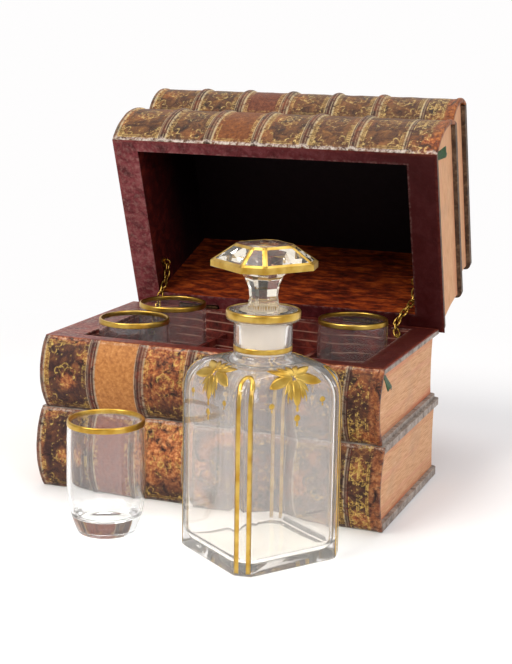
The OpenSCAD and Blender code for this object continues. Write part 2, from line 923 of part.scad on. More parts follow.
module decanter() {
  in_side = decanter_side - 2 * decanter_wall;
  in_cut = decanter_chamfer - decanter_wall * 0.5;
  bore_r = plug_r + plug_gap;
  plug_top = ring_top;
  foot_r = bore_r - plug_taper * (plug_top - plug_foot);
  color(clear_glass)
    at_decanter()
      difference() {
        union() {
          linear_extrude(shoulder_z) polygon(cut_square(decanter_side, decanter_chamfer));
          shoulder(decanter_side, decanter_chamfer, shoulder_z, neck_z, neck_r);
          translate([0, 0, neck_z - 1]) cylinder(h = ring_z - neck_z + 2, r = neck_r);
          translate([0, 0, ring_z + 1.5]) cylinder(h = ring_top - ring_z - 1.5, r = ring_r);
          translate([0, 0, ring_z]) cylinder(h = 1.5, r1 = ring_r - 2.5, r2 = ring_r);
        }
        translate([0, 0, floor_t])
          linear_extrude(shoulder_z - floor_t) polygon(cut_square(in_side, in_cut));
        shoulder(in_side, in_cut, shoulder_z, neck_z - decanter_wall, neck_r - decanter_wall);
        translate([0, 0, neck_z - decanter_wall - 2])
          cylinder(h = plug_foot - neck_z + decanter_wall + 2 + 0.01, r = foot_r);
        translate([0, 0, plug_foot])
          cylinder(h = plug_top - plug_foot + 0.01, r1 = foot_r, r2 = bore_r);
      }
}

// The stopper: a ground plug, a waisted eight-sided stem and a cut mushroom head
module stopper() {
  head_z = decanter_h - 13.5;
  rim_top = decanter_h - 10;
  foot_r = plug_r - plug_taper * (ring_top - plug_foot);
  head_cut = 10 * stopper_side / 53;
  color(clear_glass)
    at_decanter() {
      translate([0, 0, plug_foot]) cylinder(h = ring_top - plug_foot, r1 = foot_r, r2 = plug_r);
      waist(ring_top, head_z, 0.2);
      translate([0, 0, head_z])
        linear_extrude(rim_top - head_z + 0.005) polygon(cut_square(stopper_side, head_cut));
      hull() {
        translate([0, 0, rim_top])
          linear_extrude(0.01) polygon(cut_square(stopper_side, head_cut));
        translate([0, 0, decanter_h - 0.51])
          linear_extrude(0.01) polygon(cut_square(stopper_side * 0.53, head_cut * 0.5));
      }
      hull() {
        translate([0, 0, decanter_h - 0.51])
          linear_extrude(0.01) polygon(cut_square(stopper_side * 0.53, head_cut * 0.5));
        translate([0, 0, decanter_h - 0.01])
          linear_extrude(0.01) polygon(cut_square(stopper_side * 0.3, head_cut * 0.3));
      }
    }
}

// The stem narrows above the neck and flares out under the head; each end is let in
module waist(z0, z1, let_in) {
  h = z1 - z0;
  rings = [[0, 9.4], [0.3, 8.2], [0.52, 8.8], [0.75, 11], [0.92, 15], [1, 24]];
  for (i = [0:len(rings) - 2])
    translate([0, 0, z0 + h * rings[i][0]])
      rotate([0, 0, 22.5])
        cylinder(h = h * (rings[i + 1][0] - rings[i][0]), r1 = rings[i][1], r2 = rings[i + 1][1],
                 $fn = 8);
  translate([0, 0, z0 - let_in])
    rotate([0, 0, 22.5]) cylinder(h = let_in + 0.001, r = rings[0][1], $fn = 8);
  translate([0, 0, z1 - 0.001])
    rotate([0, 0, 22.5])
      cylinder(h = let_in, r = rings[len(rings) - 1][1], $fn = 8);
}

// A tumbler swells gently from its foot and draws in a little at the rim
function glass_r(z) =
  let (foot = glass_d * 0.37, top = glass_d / 2, t = z / glass_h)
  t < 0.5 ? foot + (belly_r - foot) * (1 - pow(1 - 2 * t, 2.6))
          : belly_r + (top - belly_r) * pow(2 * t - 1, 2);

module tumbler(at, z) {
  steps = 10;
  edge = 1.5;
  outer = [for (i = [0:steps]) let (h = edge + (glass_h - edge) * i / steps) [glass_r(h), h]];
  inner = [for (i = [steps:-1:0])
    let (h = glass_foot_t + 2 + (glass_h - glass_foot_t - 2) * i / steps)
    [glass_r(h) - glass_wall, h]];
  floor_r = glass_r(glass_foot_t + 2) - glass_wall - 3;
  color(clear_glass)
    translate([at[0], at[1], z])
      rotate_extrude()
        polygon(concat([[0, 0], [glass_r(edge) - edge, 0]], outer, inner,
                       [[floor_r, glass_foot_t], [0, glass_foot_t]]));
}

module tumbler_left_front() {
  tumbler(glass_left_front, deck_z + glass_stand_gap);
}

module tumbler_left_back() {
  tumbler(glass_left_back, deck_z + glass_stand_gap);
}

module tumbler_right_back() {
  tumbler(glass_right_back, deck_z + glass_stand_gap);
}

module tumbler_on_table() {
  tumbler(front_glass_pos, 0);
}

bottom_board();
book1_spine();
book1_front_wall();
book1_left_pages();
book1_right_pages();
book1_back_pages();
book1_top_board();
book2_bottom_board();
book2_spine();
book2_front_wall();
book2_left_pages();
book2_right_pages();
book2_back_pages();
base_rim_board();
base_rim_leather();
base_lining();
glass_decks();
deck_battens();
well_side_dividers();
well_cross_dividers();
cell_dividers();
hinge_left_base_leaf();
hinge_right_base_leaf();
hinge_left_pin();
hinge_right_pin();
base_hinge_screws();
base_chain_eyes();
chain_left();
chain_right();
base_ribbon();
lid_rim_leather();
lid_rim_board();
book3_spine();
book3_front_wall();
book3_left_pages();
book3_right_pages();
book3_back_pages();
book3_top_board();
book4_bottom_board();
book4_spine();
book4_front_wall();
book4_left_pages();
book4_right_pages();
book4_back_pages();
top_board();
lid_lining();
hinge_left_lid_leaf();
hinge_right_lid_leaf();
lid_hinge_screws();
lid_chain_eyes();
lid_ribbon();
decanter();
stopper();
tumbler_left_front();
tumbler_left_back();
tumbler_right_back();
tumbler_on_table();
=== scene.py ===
# %% [markdown]
# # An antique tantalus bound as a stack of books
# A tantalus is a case for spirits. This one pretends to be four old leather books. The two lower books
# are a box with a tray for a square decanter and four small tumblers, and the two upper books are its
# hinged lid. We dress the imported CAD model: every solid is already in its place, so this lesson is about
# surfaces. Old calf, gilt tooling, cut paper, brass and gilded glass each get a material of their own, and
# pieces whose shape needs more than CAD gives them, such as the spines, are made again in mesh code.

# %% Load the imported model
import json
import math

import bmesh
import bpy
import numpy as np
from mathutils import Matrix, Vector
from mathutils.bvhtree import BVHTree


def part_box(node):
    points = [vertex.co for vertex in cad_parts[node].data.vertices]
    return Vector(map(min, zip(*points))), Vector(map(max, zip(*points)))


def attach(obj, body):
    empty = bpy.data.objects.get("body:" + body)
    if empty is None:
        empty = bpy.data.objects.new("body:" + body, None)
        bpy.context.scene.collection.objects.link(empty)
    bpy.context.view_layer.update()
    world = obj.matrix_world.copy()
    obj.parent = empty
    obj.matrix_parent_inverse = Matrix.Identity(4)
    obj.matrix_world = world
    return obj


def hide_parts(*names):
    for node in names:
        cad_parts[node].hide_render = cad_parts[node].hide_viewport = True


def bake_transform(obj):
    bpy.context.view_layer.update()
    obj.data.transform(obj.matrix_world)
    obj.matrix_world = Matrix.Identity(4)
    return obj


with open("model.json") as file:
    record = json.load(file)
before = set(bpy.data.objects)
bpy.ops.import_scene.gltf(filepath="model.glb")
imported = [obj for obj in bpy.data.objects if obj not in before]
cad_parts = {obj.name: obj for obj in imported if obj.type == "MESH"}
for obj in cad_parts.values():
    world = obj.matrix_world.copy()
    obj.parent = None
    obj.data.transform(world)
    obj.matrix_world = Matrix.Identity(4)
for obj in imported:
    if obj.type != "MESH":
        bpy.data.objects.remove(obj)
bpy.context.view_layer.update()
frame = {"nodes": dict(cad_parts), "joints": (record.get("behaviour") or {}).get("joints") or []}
nodes = frame["nodes"]
MM = 0.001

# %% [markdown]
# ## The two resting places of the lid
# The lid stands open by 71 degrees. Its pieces are easier to think about closed, with the books flat, so
# one function turns a closed point to where it lies now. The hinge's place comes from the model's joint.

# %% The hinge
lid_joint = next(joint for joint in frame["joints"] if joint["name"] == "lid_hinge")
hinge_point = Vector(lid_joint["pos_m"])
open_deg = -lid_joint["range_deg"][0]
swing = (
    Matrix.Translation(hinge_point)
    @ Matrix.Rotation(-math.radians(open_deg), 4, "X")
    @ Matrix.Translation(-hinge_point)
)
print("hinge at", tuple(round(v / MM, 1) for v in hinge_point), "mm, open by", open_deg, "degrees")


def piece_from(name, verts, faces, body, smooth=True):
    """A closed mesh from points in millimetres. Points of the lid are given as they lie with it closed."""
    points = np.asarray(verts, float) * MM
    if body == "lid":
        turn = np.array(swing)
        points = points @ turn[:3, :3].T + turn[:3, 3]
    mesh = bpy.data.meshes.new(name)
    mesh.from_pydata(points.tolist(), [], [[int(i) for i in face] for face in faces])
    mesh.validate()
    tidy = bmesh.new()
    tidy.from_mesh(mesh)
    bmesh.ops.recalc_face_normals(tidy, faces=tidy.faces)
    tidy.to_mesh(mesh)
    tidy.free()
    mesh.polygons.foreach_set("use_smooth", [smooth] * len(mesh.polygons))
    made = bpy.data.objects.new(name, mesh)
    bpy.context.scene.collection.objects.link(made)
    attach(made, body)
    return made


def dress(made, material, node=None):
    """Gives a new piece its material and slot, and hides the CAD node that it stands for, if any."""
    made.data.materials.append(material)
    if node:
        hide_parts(node)
    return made


def thin_solid(outer, inner):
    """Points and faces of a closed sheet between two grids of points, each of rows by columns."""
    rows, columns = outer.shape[:2]
    count = rows * columns
    index = np.arange(count).reshape(rows, columns)
    a, b, c, d = index[:-1, :-1], index[1:, :-1], index[1:, 1:], index[:-1, 1:]
    front = np.stack([a, b, c, d], -1).reshape(-1, 4)
    faces = [front, front[:, ::-1] + count]
    for rim in (index[:, 0], index[::-1, -1], index[0, ::-1], index[-1, :]):
        faces.append(np.stack([rim[1:], rim[:-1], rim[:-1] + count, rim[1:] + count], -1))
    return np.concatenate([outer.reshape(-1, 3), inner.reshape(-1, 3)]), np.concatenate(faces)


# %% [markdown]
# ## Camera
# The view is a little above the table and to the right of the front. Its place, turn and focal length
# were fitted to the corners of the case, the tumblers' rims and the decanter's foot.

# %% Camera
FOCAL_PX, LONG_SIDE_PX, SENSOR_MM = 1434.3, 664, 36.0
camera_at = Vector((343.8, -870.4, 299.9)) * MM
azimuth, elevation, roll = (math.radians(a) for a in (21.15, 11.96, 0.94))
level = math.cos(elevation)
back = Vector((math.sin(azimuth) * level, -math.cos(azimuth) * level, math.sin(elevation)))
right = (-back).cross(Vector((0, 0, 1))).normalized()
up = right.cross(-back)
camera_x = math.cos(roll) * right + math.sin(roll) * up
camera_y = -math.sin(roll) * right + math.cos(roll) * up
camera_data = bpy.data.cameras.new("camera")
camera_data.sensor_width = SENSOR_MM
camera_data.lens = FOCAL_PX / LONG_SIDE_PX * SENSOR_MM
camera_data.clip_start = 0.05
camera = bpy.data.objects.new("camera", camera_data)
bpy.context.scene.collection.objects.link(camera)
rows = [(camera_x[i], camera_y[i], back[i], camera_at[i]) for i in range(3)]
camera.matrix_world = Matrix(rows + [(0, 0, 0, 1)])
bpy.context.scene.camera = camera
bpy.context.scene.view_settings.view_transform = "Standard"
print("lens", round(camera_data.lens, 1), "mm")

# %% [markdown]
# ## Nodes without the clutter
# Each material is a small graph. One function adds a node with its settings and links what goes into it.
# Colours are written as sRGB hex values, as a colour picker shows them.


# %% Helpers for materials
def linear(code):
    """An sRGB hex value as the linear colour that a shader takes."""
    parts = [int(code.lstrip("#")[i : i + 2], 16) / 255 for i in (0, 2, 4)]
    return tuple(c / 12.92 if c <= 0.04045 else ((c + 0.055) / 1.055) ** 2.4 for c in parts) + (1,)


def plug(tree, node, inputs):
    """Fills a node's inputs, by name or number. What goes in is a number, a hex colour, another node's
    output, or another node, whose first output is then meant."""
    for key, value in inputs.items():
        if isinstance(value, bpy.types.Node):
            value = value.outputs[0]
        if isinstance(value, bpy.types.NodeSocket):
            tree.links.new(value, node.inputs[key])
        else:
            node.inputs[key].default_value = linear(value) if isinstance(value, str) else value


def add(tree, kind, inputs=None, stops=(), **settings):
    """Adds a node. Stops are the places and tones of a colour ramp."""
    made = tree.nodes.new("ShaderNode" + kind)
    for key, value in settings.items():
        setattr(made, key, value)
    if stops:
        ramp = made.color_ramp
        while len(ramp.elements) < len(stops):
            ramp.elements.new(0.5)
        for element, (place, tone) in zip(ramp.elements, stops):
            element.position = place
            element.color = linear(tone) if isinstance(tone, str) else (tone, tone, tone, 1)
    plug(tree, made, inputs or {})
    return made


def start_material(name):
    material = bpy.data.materials.new(name)
    material.use_nodes = True
    tree = material.node_tree
    return material, tree, tree.nodes["Principled BSDF"]


def per_mm(millimetres):
    """A texture scale, in cells per metre, for a pattern whose features are this far apart."""
    return 1 / (millimetres * MM)


# %% [markdown]
# ### Coats and wear
# An old surface is a stack of coats, none of them whole. Each is a colour and a mask, and a mask is mostly
# a shape with holes where a noise is low.


# %% Coats and wear
def coats(tree, ground, layers):
    """Lays colours over a ground, each through its own mask, as stain, wear and gold lie on leather."""
    for mask, colour in layers:
        ground = add(tree, "Mix", {0: mask, 6: ground, 7: colour}, data_type="RGBA").outputs[2]
    return ground


def broken(tree, mask, noise, low, high, most=1.0, least=0.0):
    """A mask that grows from its least share to its most as a noise goes from low to high."""
    left = add(tree, "MapRange", {"Value": noise, 1: low, 2: high, 3: least, 4: most})
    return add(tree, "Math", {0: mask, 1: left}, operation="MULTIPLY", use_clamp=True)


def cover(material, *names):
    """Gives one material to several CAD nodes."""
    for name in names:
        slots = nodes[name].data.materials
        slots.clear()
        slots.append(material)


# %% [markdown]
# ## Book coordinates
# Pages and leather have a direction, and on the lid it is tilted with the books. So each material that has
# a direction is made twice, once for the base and once turned back by the lid's opening angle, which gives
# the place that the point has with the lid closed.


# %% Book coordinates
def book_point(tree, lid=False):
    place = add(tree, "TexCoord").outputs["Object"]
    if not lid:
        return place
    hinge = tuple(hinge_point)
    shifted = add(tree, "VectorMath", {0: place, 1: hinge}, operation="SUBTRACT")
    turn = {"Vector": shifted, "Angle": math.radians(open_deg)}
    turned = add(tree, "VectorRotate", turn, rotation_type="X_AXIS")
    return add(tree, "VectorMath", {0: turned, 1: hinge}, operation="ADD").outputs[0]


# %% [markdown]
# ## Cut page edges
# The pages are old rag paper, cut smooth and coloured a tan pink that has faded unevenly. What the eye
# sees is fine layering along the book, a flush of red where the colour was thick beside the boards, and
# soft grey dirt. Real leaves are 0.1 mm thick, too fine to show, so the layers are drawn 0.6 mm apart.
# A ramp along the height of the book, read off the solids, places the red flush.


# %% Page paper
RAMP_TOP = 0.2
FLUSH = ((0, 0.85), (5, 0.2), (11, 0.0), (-9, 0.0), (-4, 0.2), (0, 0.7))
CUT_PAPER = [(0.25, "#b37e58"), (0.44, "#d29e74"), (0.58, "#deae86"), (0.8, "#ecc6a2")]


def page_paper(name, lid, books):
    """Books are the lowest and highest millimetre of each block. Flush gives the red from either."""
    material, tree, shader = start_material(name)
    point = book_point(tree, lid)
    flat = add(tree, "Mapping", {"Vector": point, "Scale": (1, 1, 22)})
    layers, patches = (
        add(tree, "TexNoise", {"Vector": flat, "Scale": per_mm(size), "Detail": fine, "Roughness": rough})
        for size, fine, rough in ((13, 3, 0.7), (120, 5, 0.6))
    )
    height = add(tree, "SeparateXYZ", {0: point}).outputs["Z"]
    share = add(tree, "Math", {0: height, 1: 1 / RAMP_TOP}, operation="MULTIPLY")
    stops = []
    for book in books:
        for number, (offset, tone) in enumerate(FLUSH):
            stops.append(((book[number > 2] + offset) * MM / RAMP_TOP, tone))
    flush = add(tree, "ValToRGB", {"Fac": share}, stops)
    streaked = add(tree, "ValToRGB", {"Fac": patches}, [(0.35, 0.15), (0.62, 1.0)])
    reddened = add(tree, "Math", {0: flush, 1: streaked}, operation="MULTIPLY")
    rosy = add(tree, "ValToRGB", {"Fac": patches}, [(0.5, 0.0), (0.7, 0.6)])
    dirt = add(tree, "TexNoise", {"Vector": point, "Scale": per_mm(24), "Detail": 4})
    dirt = add(tree, "ValToRGB", {"Fac": dirt}, [(0.52, 0.0), (0.78, 0.4)])
    paper = add(tree, "ValToRGB", {"Fac": layers}, CUT_PAPER)
    stains = ((rosy, "#d99a80"), (dirt, "#b3957c"), (reddened, "#c05f3e"))
    bump = add(tree, "Bump", {"Height": layers, "Strength": 0.4, "Distance": 0.4 * MM})
    look = {"Base Color": coats(tree, paper, stains), "Roughness": 0.82, "Specular IOR Level": 0.25}
    plug(tree, shader, {**look, "Normal": bump})
    return material


paper_base = page_paper("cut_page_edges_base", False, ((5, 49.7), (57, 98.4)))
paper_lid = page_paper("cut_page_edges_lid", True, ((105.6, 151.7), (159, 191)))
for paper, books in ((paper_base, (1, 2)), (paper_lid, (3, 4))):
    cover(paper, *(f"book{n}_{side}_pages" for n in books for side in ("left", "right", "back")))
    print("page edges:", paper.name)

# %% [markdown]
# ## Leather over boards
# The cover boards, the rims and the lining are calf and sheepskin. Vegetable-tanned leather has a fine
# grain, drawn here as two sizes of noise in the bump, and a dull gloss where hands have polished it. The
# boards of the box are rubbed to grey, and those of the lid have kept their brown.


# %% Old leather
def leather(name, lid, tones, rubbed, rub=0.35, gloss=0.5, patch_mm=9, extra=None, shine=0.25):
    """Tones run from dark to light. Extra gives more coats from the tree, the point and the flecks."""
    material, tree, shader = start_material(name)
    point = book_point(tree, lid)
    mottle, flecks = (
        add(tree, "TexNoise", {"Vector": point, "Scale": per_mm(size), **rest})
        for size, rest in (
            (patch_mm, {"Detail": 7, "Roughness": 0.68, "Distortion": 0.5}),
            (3.2, {"Detail": 5, "Roughness": 0.72}),
        )
    )
    ground = add(tree, "ValToRGB", {"Fac": mottle}, list(zip((0.34, 0.5, 0.66), tones)))
    scuffs = add(tree, "ValToRGB", {"Fac": flecks}, [(0.52, 0.0), (0.72, rub)])
    layers = [(scuffs, rubbed)] + (extra(tree, point, flecks) if extra else [])
    grain = add(tree, "TexVoronoi", {"Vector": point, "Scale": per_mm(0.9)}, feature="DISTANCE_TO_EDGE")
    fine = add(tree, "Bump", {"Height": grain, "Strength": 0.18, "Distance": 0.3 * MM})
    dents = {"Height": mottle, "Strength": 0.45, "Distance": 1.4 * MM, "Normal": fine}
    polish = add(tree, "MapRange", {"Value": mottle, 3: gloss - 0.1, 4: gloss + 0.18})
    look = {"Base Color": coats(tree, ground, layers), "Roughness": polish, "Specular IOR Level": shine}
    plug(tree, shader, {**look, "Normal": add(tree, "Bump", dents)})
    return material


board_base = leather("board_calf_base", False, ("#5c4c44", "#978a80", "#b9ada2"), "#c4b6a6", 0.7)
board_lid = leather("board_calf_lid", True, ("#2e1f17", "#4f3b2b", "#705a46"), "#92795c", 0.6)
cover(board_base, "bottom_board", "book1_top_board", "book2_bottom_board", "base_rim_board")
cover(board_lid, "lid_rim_board", "book3_top_board", "book4_bottom_board", "top_board")
print("boards:", board_base.name, board_lid.name)


# %% [markdown]
# ### Rims
# A rim's leather is worn most where hands and the other rim touch it: along the opening, where it is rubbed
# white, and along the outside, where its red-orange under-layer shows. Towards the right it is darkened by
# a painted shade, and on the left it has faded. The distance to the opening's edge is the larger of those
# across and along.


# %% Rims
def opening_distance(tree, point, x0, x1, y0, y1):
    """How far outside an opening a point lies, in millimetres."""
    middle = ((x0 + x1) / 2 * MM, (y0 + y1) / 2 * MM, 0)
    half = ((x1 - x0) / 2 * MM, (y1 - y0) / 2 * MM, 0)
    moved = add(tree, "VectorMath", {0: point, 1: middle}, operation="SUBTRACT")
    mirrored = add(tree, "VectorMath", {0: moved}, operation="ABSOLUTE")
    past = add(tree, "VectorMath", {0: mirrored, 1: half}, operation="SUBTRACT")
    across, along, _ = add(tree, "SeparateXYZ", {0: past}).outputs
    larger = add(tree, "Math", {0: across, 1: along}, operation="MAXIMUM")
    return add(tree, "Math", {0: larger, 1: 1 / MM}, operation="MULTIPLY")


def rubbed_edges(opening, outer, dark, most, torn_most):
    """Coats for a rim: a painted shade towards the right, the fading, the worn outer edges and the white at
    the opening.
    """

    def extra(tree, point, flecks):
        inner = opening_distance(tree, point, *opening)
        outside = opening_distance(tree, point, *outer)
        sideways = add(tree, "SeparateXYZ", {0: point}).outputs["X"]
        painted_shade, faded, edge, near = (
            add(tree, "MapRange", {"Value": value, 1: start, 2: end, 3: first, 4: last})
            for value, start, end, first, last in (
                (sideways, -0.09, 0.1, 0.0, 0.9),
                (sideways, -0.12, -0.01, most, 0.0),
                (outside, -2.2, -0.4, 0.0, 1.0),
                (inner, 0.2, 1.6, 1.0, 0.0),
            )
        )
        return [
            # painted shade: the rim darkens towards the right, away from the key light
            (painted_shade, dark),
            (broken(tree, faded, flecks, 0.44, 0.6), "#a28476"),
            (broken(tree, edge, flecks, 0.4, 0.56, torn_most, 0.1 * torn_most), "#a2492f"),
            (broken(tree, near, flecks, 0.46, 0.6, most), "#a58a80"),
        ]

    return extra


# The dark colour given to each rim is the colour of its painted shade.
base_wear = rubbed_edges((-93, 98, -54.9, 55.9), (-115, 115, -64.9, 64.9), "#3c100c", 0.55, 0.5)
lid_wear = rubbed_edges((-93, 99, -54.9, 55.9), (-111, 119, -62.9, 67.9), "#2e0705", 0.2, 0.15)
tones = ("#451211", "#6a2019", "#8a3f30")
rim_base = leather("rim_burgundy_base", False, tones, "#9a6a5c", 0.45, 0.42, extra=base_wear)
tones = ("#47151a", "#6c2a2e", "#864648")
rim_lid = leather("rim_burgundy_lid", True, tones, "#936466", 0.4, 0.42, extra=lid_wear, shine=0.12)
cover(rim_base, "base_rim_leather")
cover(rim_lid, "lid_rim_leather")
print("rims:", rim_base.name, rim_lid.name)


# %% [markdown]
# ### Lining
# The box is lined with red sheepskin that has creased along its length, about 6 mm apart. The lid's lining
# is blackened away from the rim by a painted shade. Its back wall, which lies lowest now, is worn brown
# along the grain, with painted light and glossy sheen streaked over it.


# %% Lining
def creases(tree, point, flecks):
    """A wave texture counts its bands by 20 to the turn, hence the factor that makes them 6 mm apart."""
    waves = {"Vector": point, "Scale": per_mm(6) * math.tau / 20, "Distortion": 5.0}
    waves = add(tree, "TexWave", {**waves, "Detail": 2, "Detail Scale": 0.22}, bands_direction="Z")
    lines = add(tree, "ValToRGB", {"Fac": waves.outputs["Fac"]}, [(0.93, 0.0), (0.99, 1.0)])
    long = add(tree, "Mapping", {"Vector": point, "Scale": (0.3, 1, 1)})
    gaps = add(tree, "TexNoise", {"Vector": long, "Scale": per_mm(9), "Detail": 3})
    return [(broken(tree, lines, gaps, 0.4, 0.56, 0.85, 0.1), "#a57a68")]


# Worn brown leather of the lid's back wall, with painted light and glossy sheen in its brighter streaks.
BROWN_WEAR_AND_SHEEN = [(0.34, "#240a06"), (0.48, "#5e1f0e"), (0.6, "#974016"), (0.74, "#b86a2c")]


def lid_inside(tree, point, flecks):
    _, depth, height = add(tree, "SeparateXYZ", {0: point}).outputs
    # painted shade: the lid's lining goes near black towards the top board, far into the hollow
    painted_hollow_shade = add(tree, "MapRange", {"Value": height, 1: 0.104, 2: 0.16, 3: 0.1, 4: 1.0})
    back_wall = add(tree, "MapRange", {"Value": depth, 1: 0.0552, 2: 0.0556, 3: 0.0, 4: 1.0})
    flat = add(tree, "Mapping", {"Vector": point, "Scale": (0.35, 1, 1.4)})
    streaks = {"Vector": flat, "Scale": per_mm(4.5), "Detail": 6, "Roughness": 0.7}
    # wear and painted light together: the back wall's streaked brown carries painted sheen as well as wear
    brown = add(tree, "ValToRGB", {"Fac": add(tree, "TexNoise", streaks)}, BROWN_WEAR_AND_SHEEN)
    return [(painted_hollow_shade, "#0f0306"), (back_wall, brown)]


tones = ("#2a0907", "#52150f", "#74281a")
lining_base = leather("lining_red_base", False, tones, "#844536", 0.35, 0.5, 7, creases)
tones = ("#260707", "#440e0c", "#662016")
lining_lid = leather("lining_dark_lid", True, tones, "#5a2820", 0.3, 0.55, 6, lid_inside, 0.12)
cover(lining_base, "base_lining", "glass_decks")
cover(lining_base, "well_side_dividers", "well_cross_dividers", "cell_dividers")
cover(lining_lid, "lid_lining")
print("linings:", lining_base.name, lining_lid.name)

# %% [markdown]
# ## Plain wood and brass
# The walls behind the spines and the battens are pine, which nobody sees. The hinges have gone black, and
# the chains and eyes are brass that has tarnished where it isn't rubbed. Gilding that was fired on glass
# never tarnishes: it is thin, even and softly matt.

# %% Pine and brass
pine, tree, shader = start_material("pine")
grain_line = add(tree, "Mapping", {"Vector": book_point(tree), "Scale": (0.06, 1, 1)})
figure = add(tree, "TexNoise", {"Vector": grain_line, "Scale": per_mm(3), "Detail": 4})
figure = add(tree, "ValToRGB", {"Fac": figure}, [(0.3, "#7a4d2a"), (0.5, "#9a6a3e"), (0.7, "#b98a5a")])
plug(tree, shader, {"Base Color": figure, "Roughness": 0.7})
cover(pine, *(f"book{number}_front_wall" for number in (1, 2, 3, 4)), "deck_battens")


def metal(name, dull, bright, rough, spread=0.2, patch_mm=2.4):
    material, tree, shader = start_material(name)
    tarnish = {"Vector": book_point(tree), "Scale": per_mm(patch_mm), "Detail": 5}
    tarnish = add(tree, "TexNoise", tarnish)
    colour = add(tree, "ValToRGB", {"Fac": tarnish}, [(0.38, dull), (0.62, bright)])
    polish = add(tree, "MapRange", {"Value": tarnish, 3: rough + spread, 4: rough})
    plug(tree, shader, {"Base Color": colour, "Metallic": 1.0, "Roughness": polish})
    return material


brass = metal("old_brass", "#6a4a1c", "#d8b055", 0.22)
black_brass = metal("blackened_brass", "#1c120c", "#3c2a1a", 0.45)
gilding = metal("fired_gilding", "#bd9238", "#dcb85e", 0.28, 0.1, 9)
for name in nodes:
    if "leaf" in name or "_pin" in name or "screws" in name:
        cover(black_brass, name)
    elif "chain_eyes" in name:
        cover(brass, name)

# %% [markdown]
# ## Spines
# A hand-bound spine is leather drawn over sewing cords. The cords stand up as raised bands with a soft
# fillet on each side, and the leather is turned over at both ends. CAD has the round back and the cords;
# the mesh adds the rolled caps and the dents of long use, and the fillets are pale lines in its material.
# It is a fine grid, bent to the curve, so that each point also knows its place on the flat sheet of
# leather.

# %% Spine measures
# In millimetres: how far the back is rounded, how far the leather laps the boards, and its thickness with
# the hollow behind it. Then the cords' and the caps' height and half width.
BULGE, EDGE_LAP, SKIN = 9.0, 0.3, 2.35
CORD_RISE, CORD_HALF, CAP_RISE, CAP_HALF = 1.5, 3.4, 0.75, 1.75
# The first and last cord, as shares of the spine's length, and their number.
FIRST_BAND, LAST_BAND, BANDS = 0.16, 0.755, 5


def soft_noise(x, y, size, seed):
    """Smooth wobble over a sheet, as a sum of a few waves, each about size millimetres long."""
    spread = np.random.default_rng(seed)
    total = np.zeros_like(x)
    for _ in range(9):
        angle, phase = spread.uniform(0, 2 * math.pi, 2)
        wave = spread.uniform(0.6, 1.7) * 2 * math.pi / size
        total += np.sin(wave * (x * math.cos(angle) + y * math.sin(angle)) + phase)
    return total / 9


def stroke(away, width, soft=0.5):
    """1 on a drawn line and 0 off it, from the distance to the line's middle."""
    return np.clip(0.5 + (width / 2 - np.abs(away)) / soft, 0, 1)


def ramp(value, start, end):
    return np.clip((value - start) / (end - start), 0, 1)


# %% [markdown]
# ### Where the gold goes
# A finisher pressed heated brass tools through gold leaf: two fillets and a roll of dots round each panel,
# a flower in the middle, a fan in each corner, and small stars sown between them. The long last panel ends
# in two upright leafy rolls beside bare leather. Each tool is a shape in millimetres on the flat sheet, so
# one function draws them all for every point, and says where the leather is rubbed or torn as well.


# %% Tooling and wear on the flat sheet
# In millimetres: the bare tail with its rolls, the frame round a panel's field, the stars' spacing, and
# the rolls' lines, middles and repeat, counted from the tail end.
TAIL, FIELD_SIDE, FIELD_EDGE, STAR_STEP = 20.0, 6.2, 5.2, 3.4
ROLL_LINES, ROLL_MIDDLES, ROLL_REPEAT = (7.4, 8.5, 13.6, 14.5, 19.6), (11.0, 17.0), 7


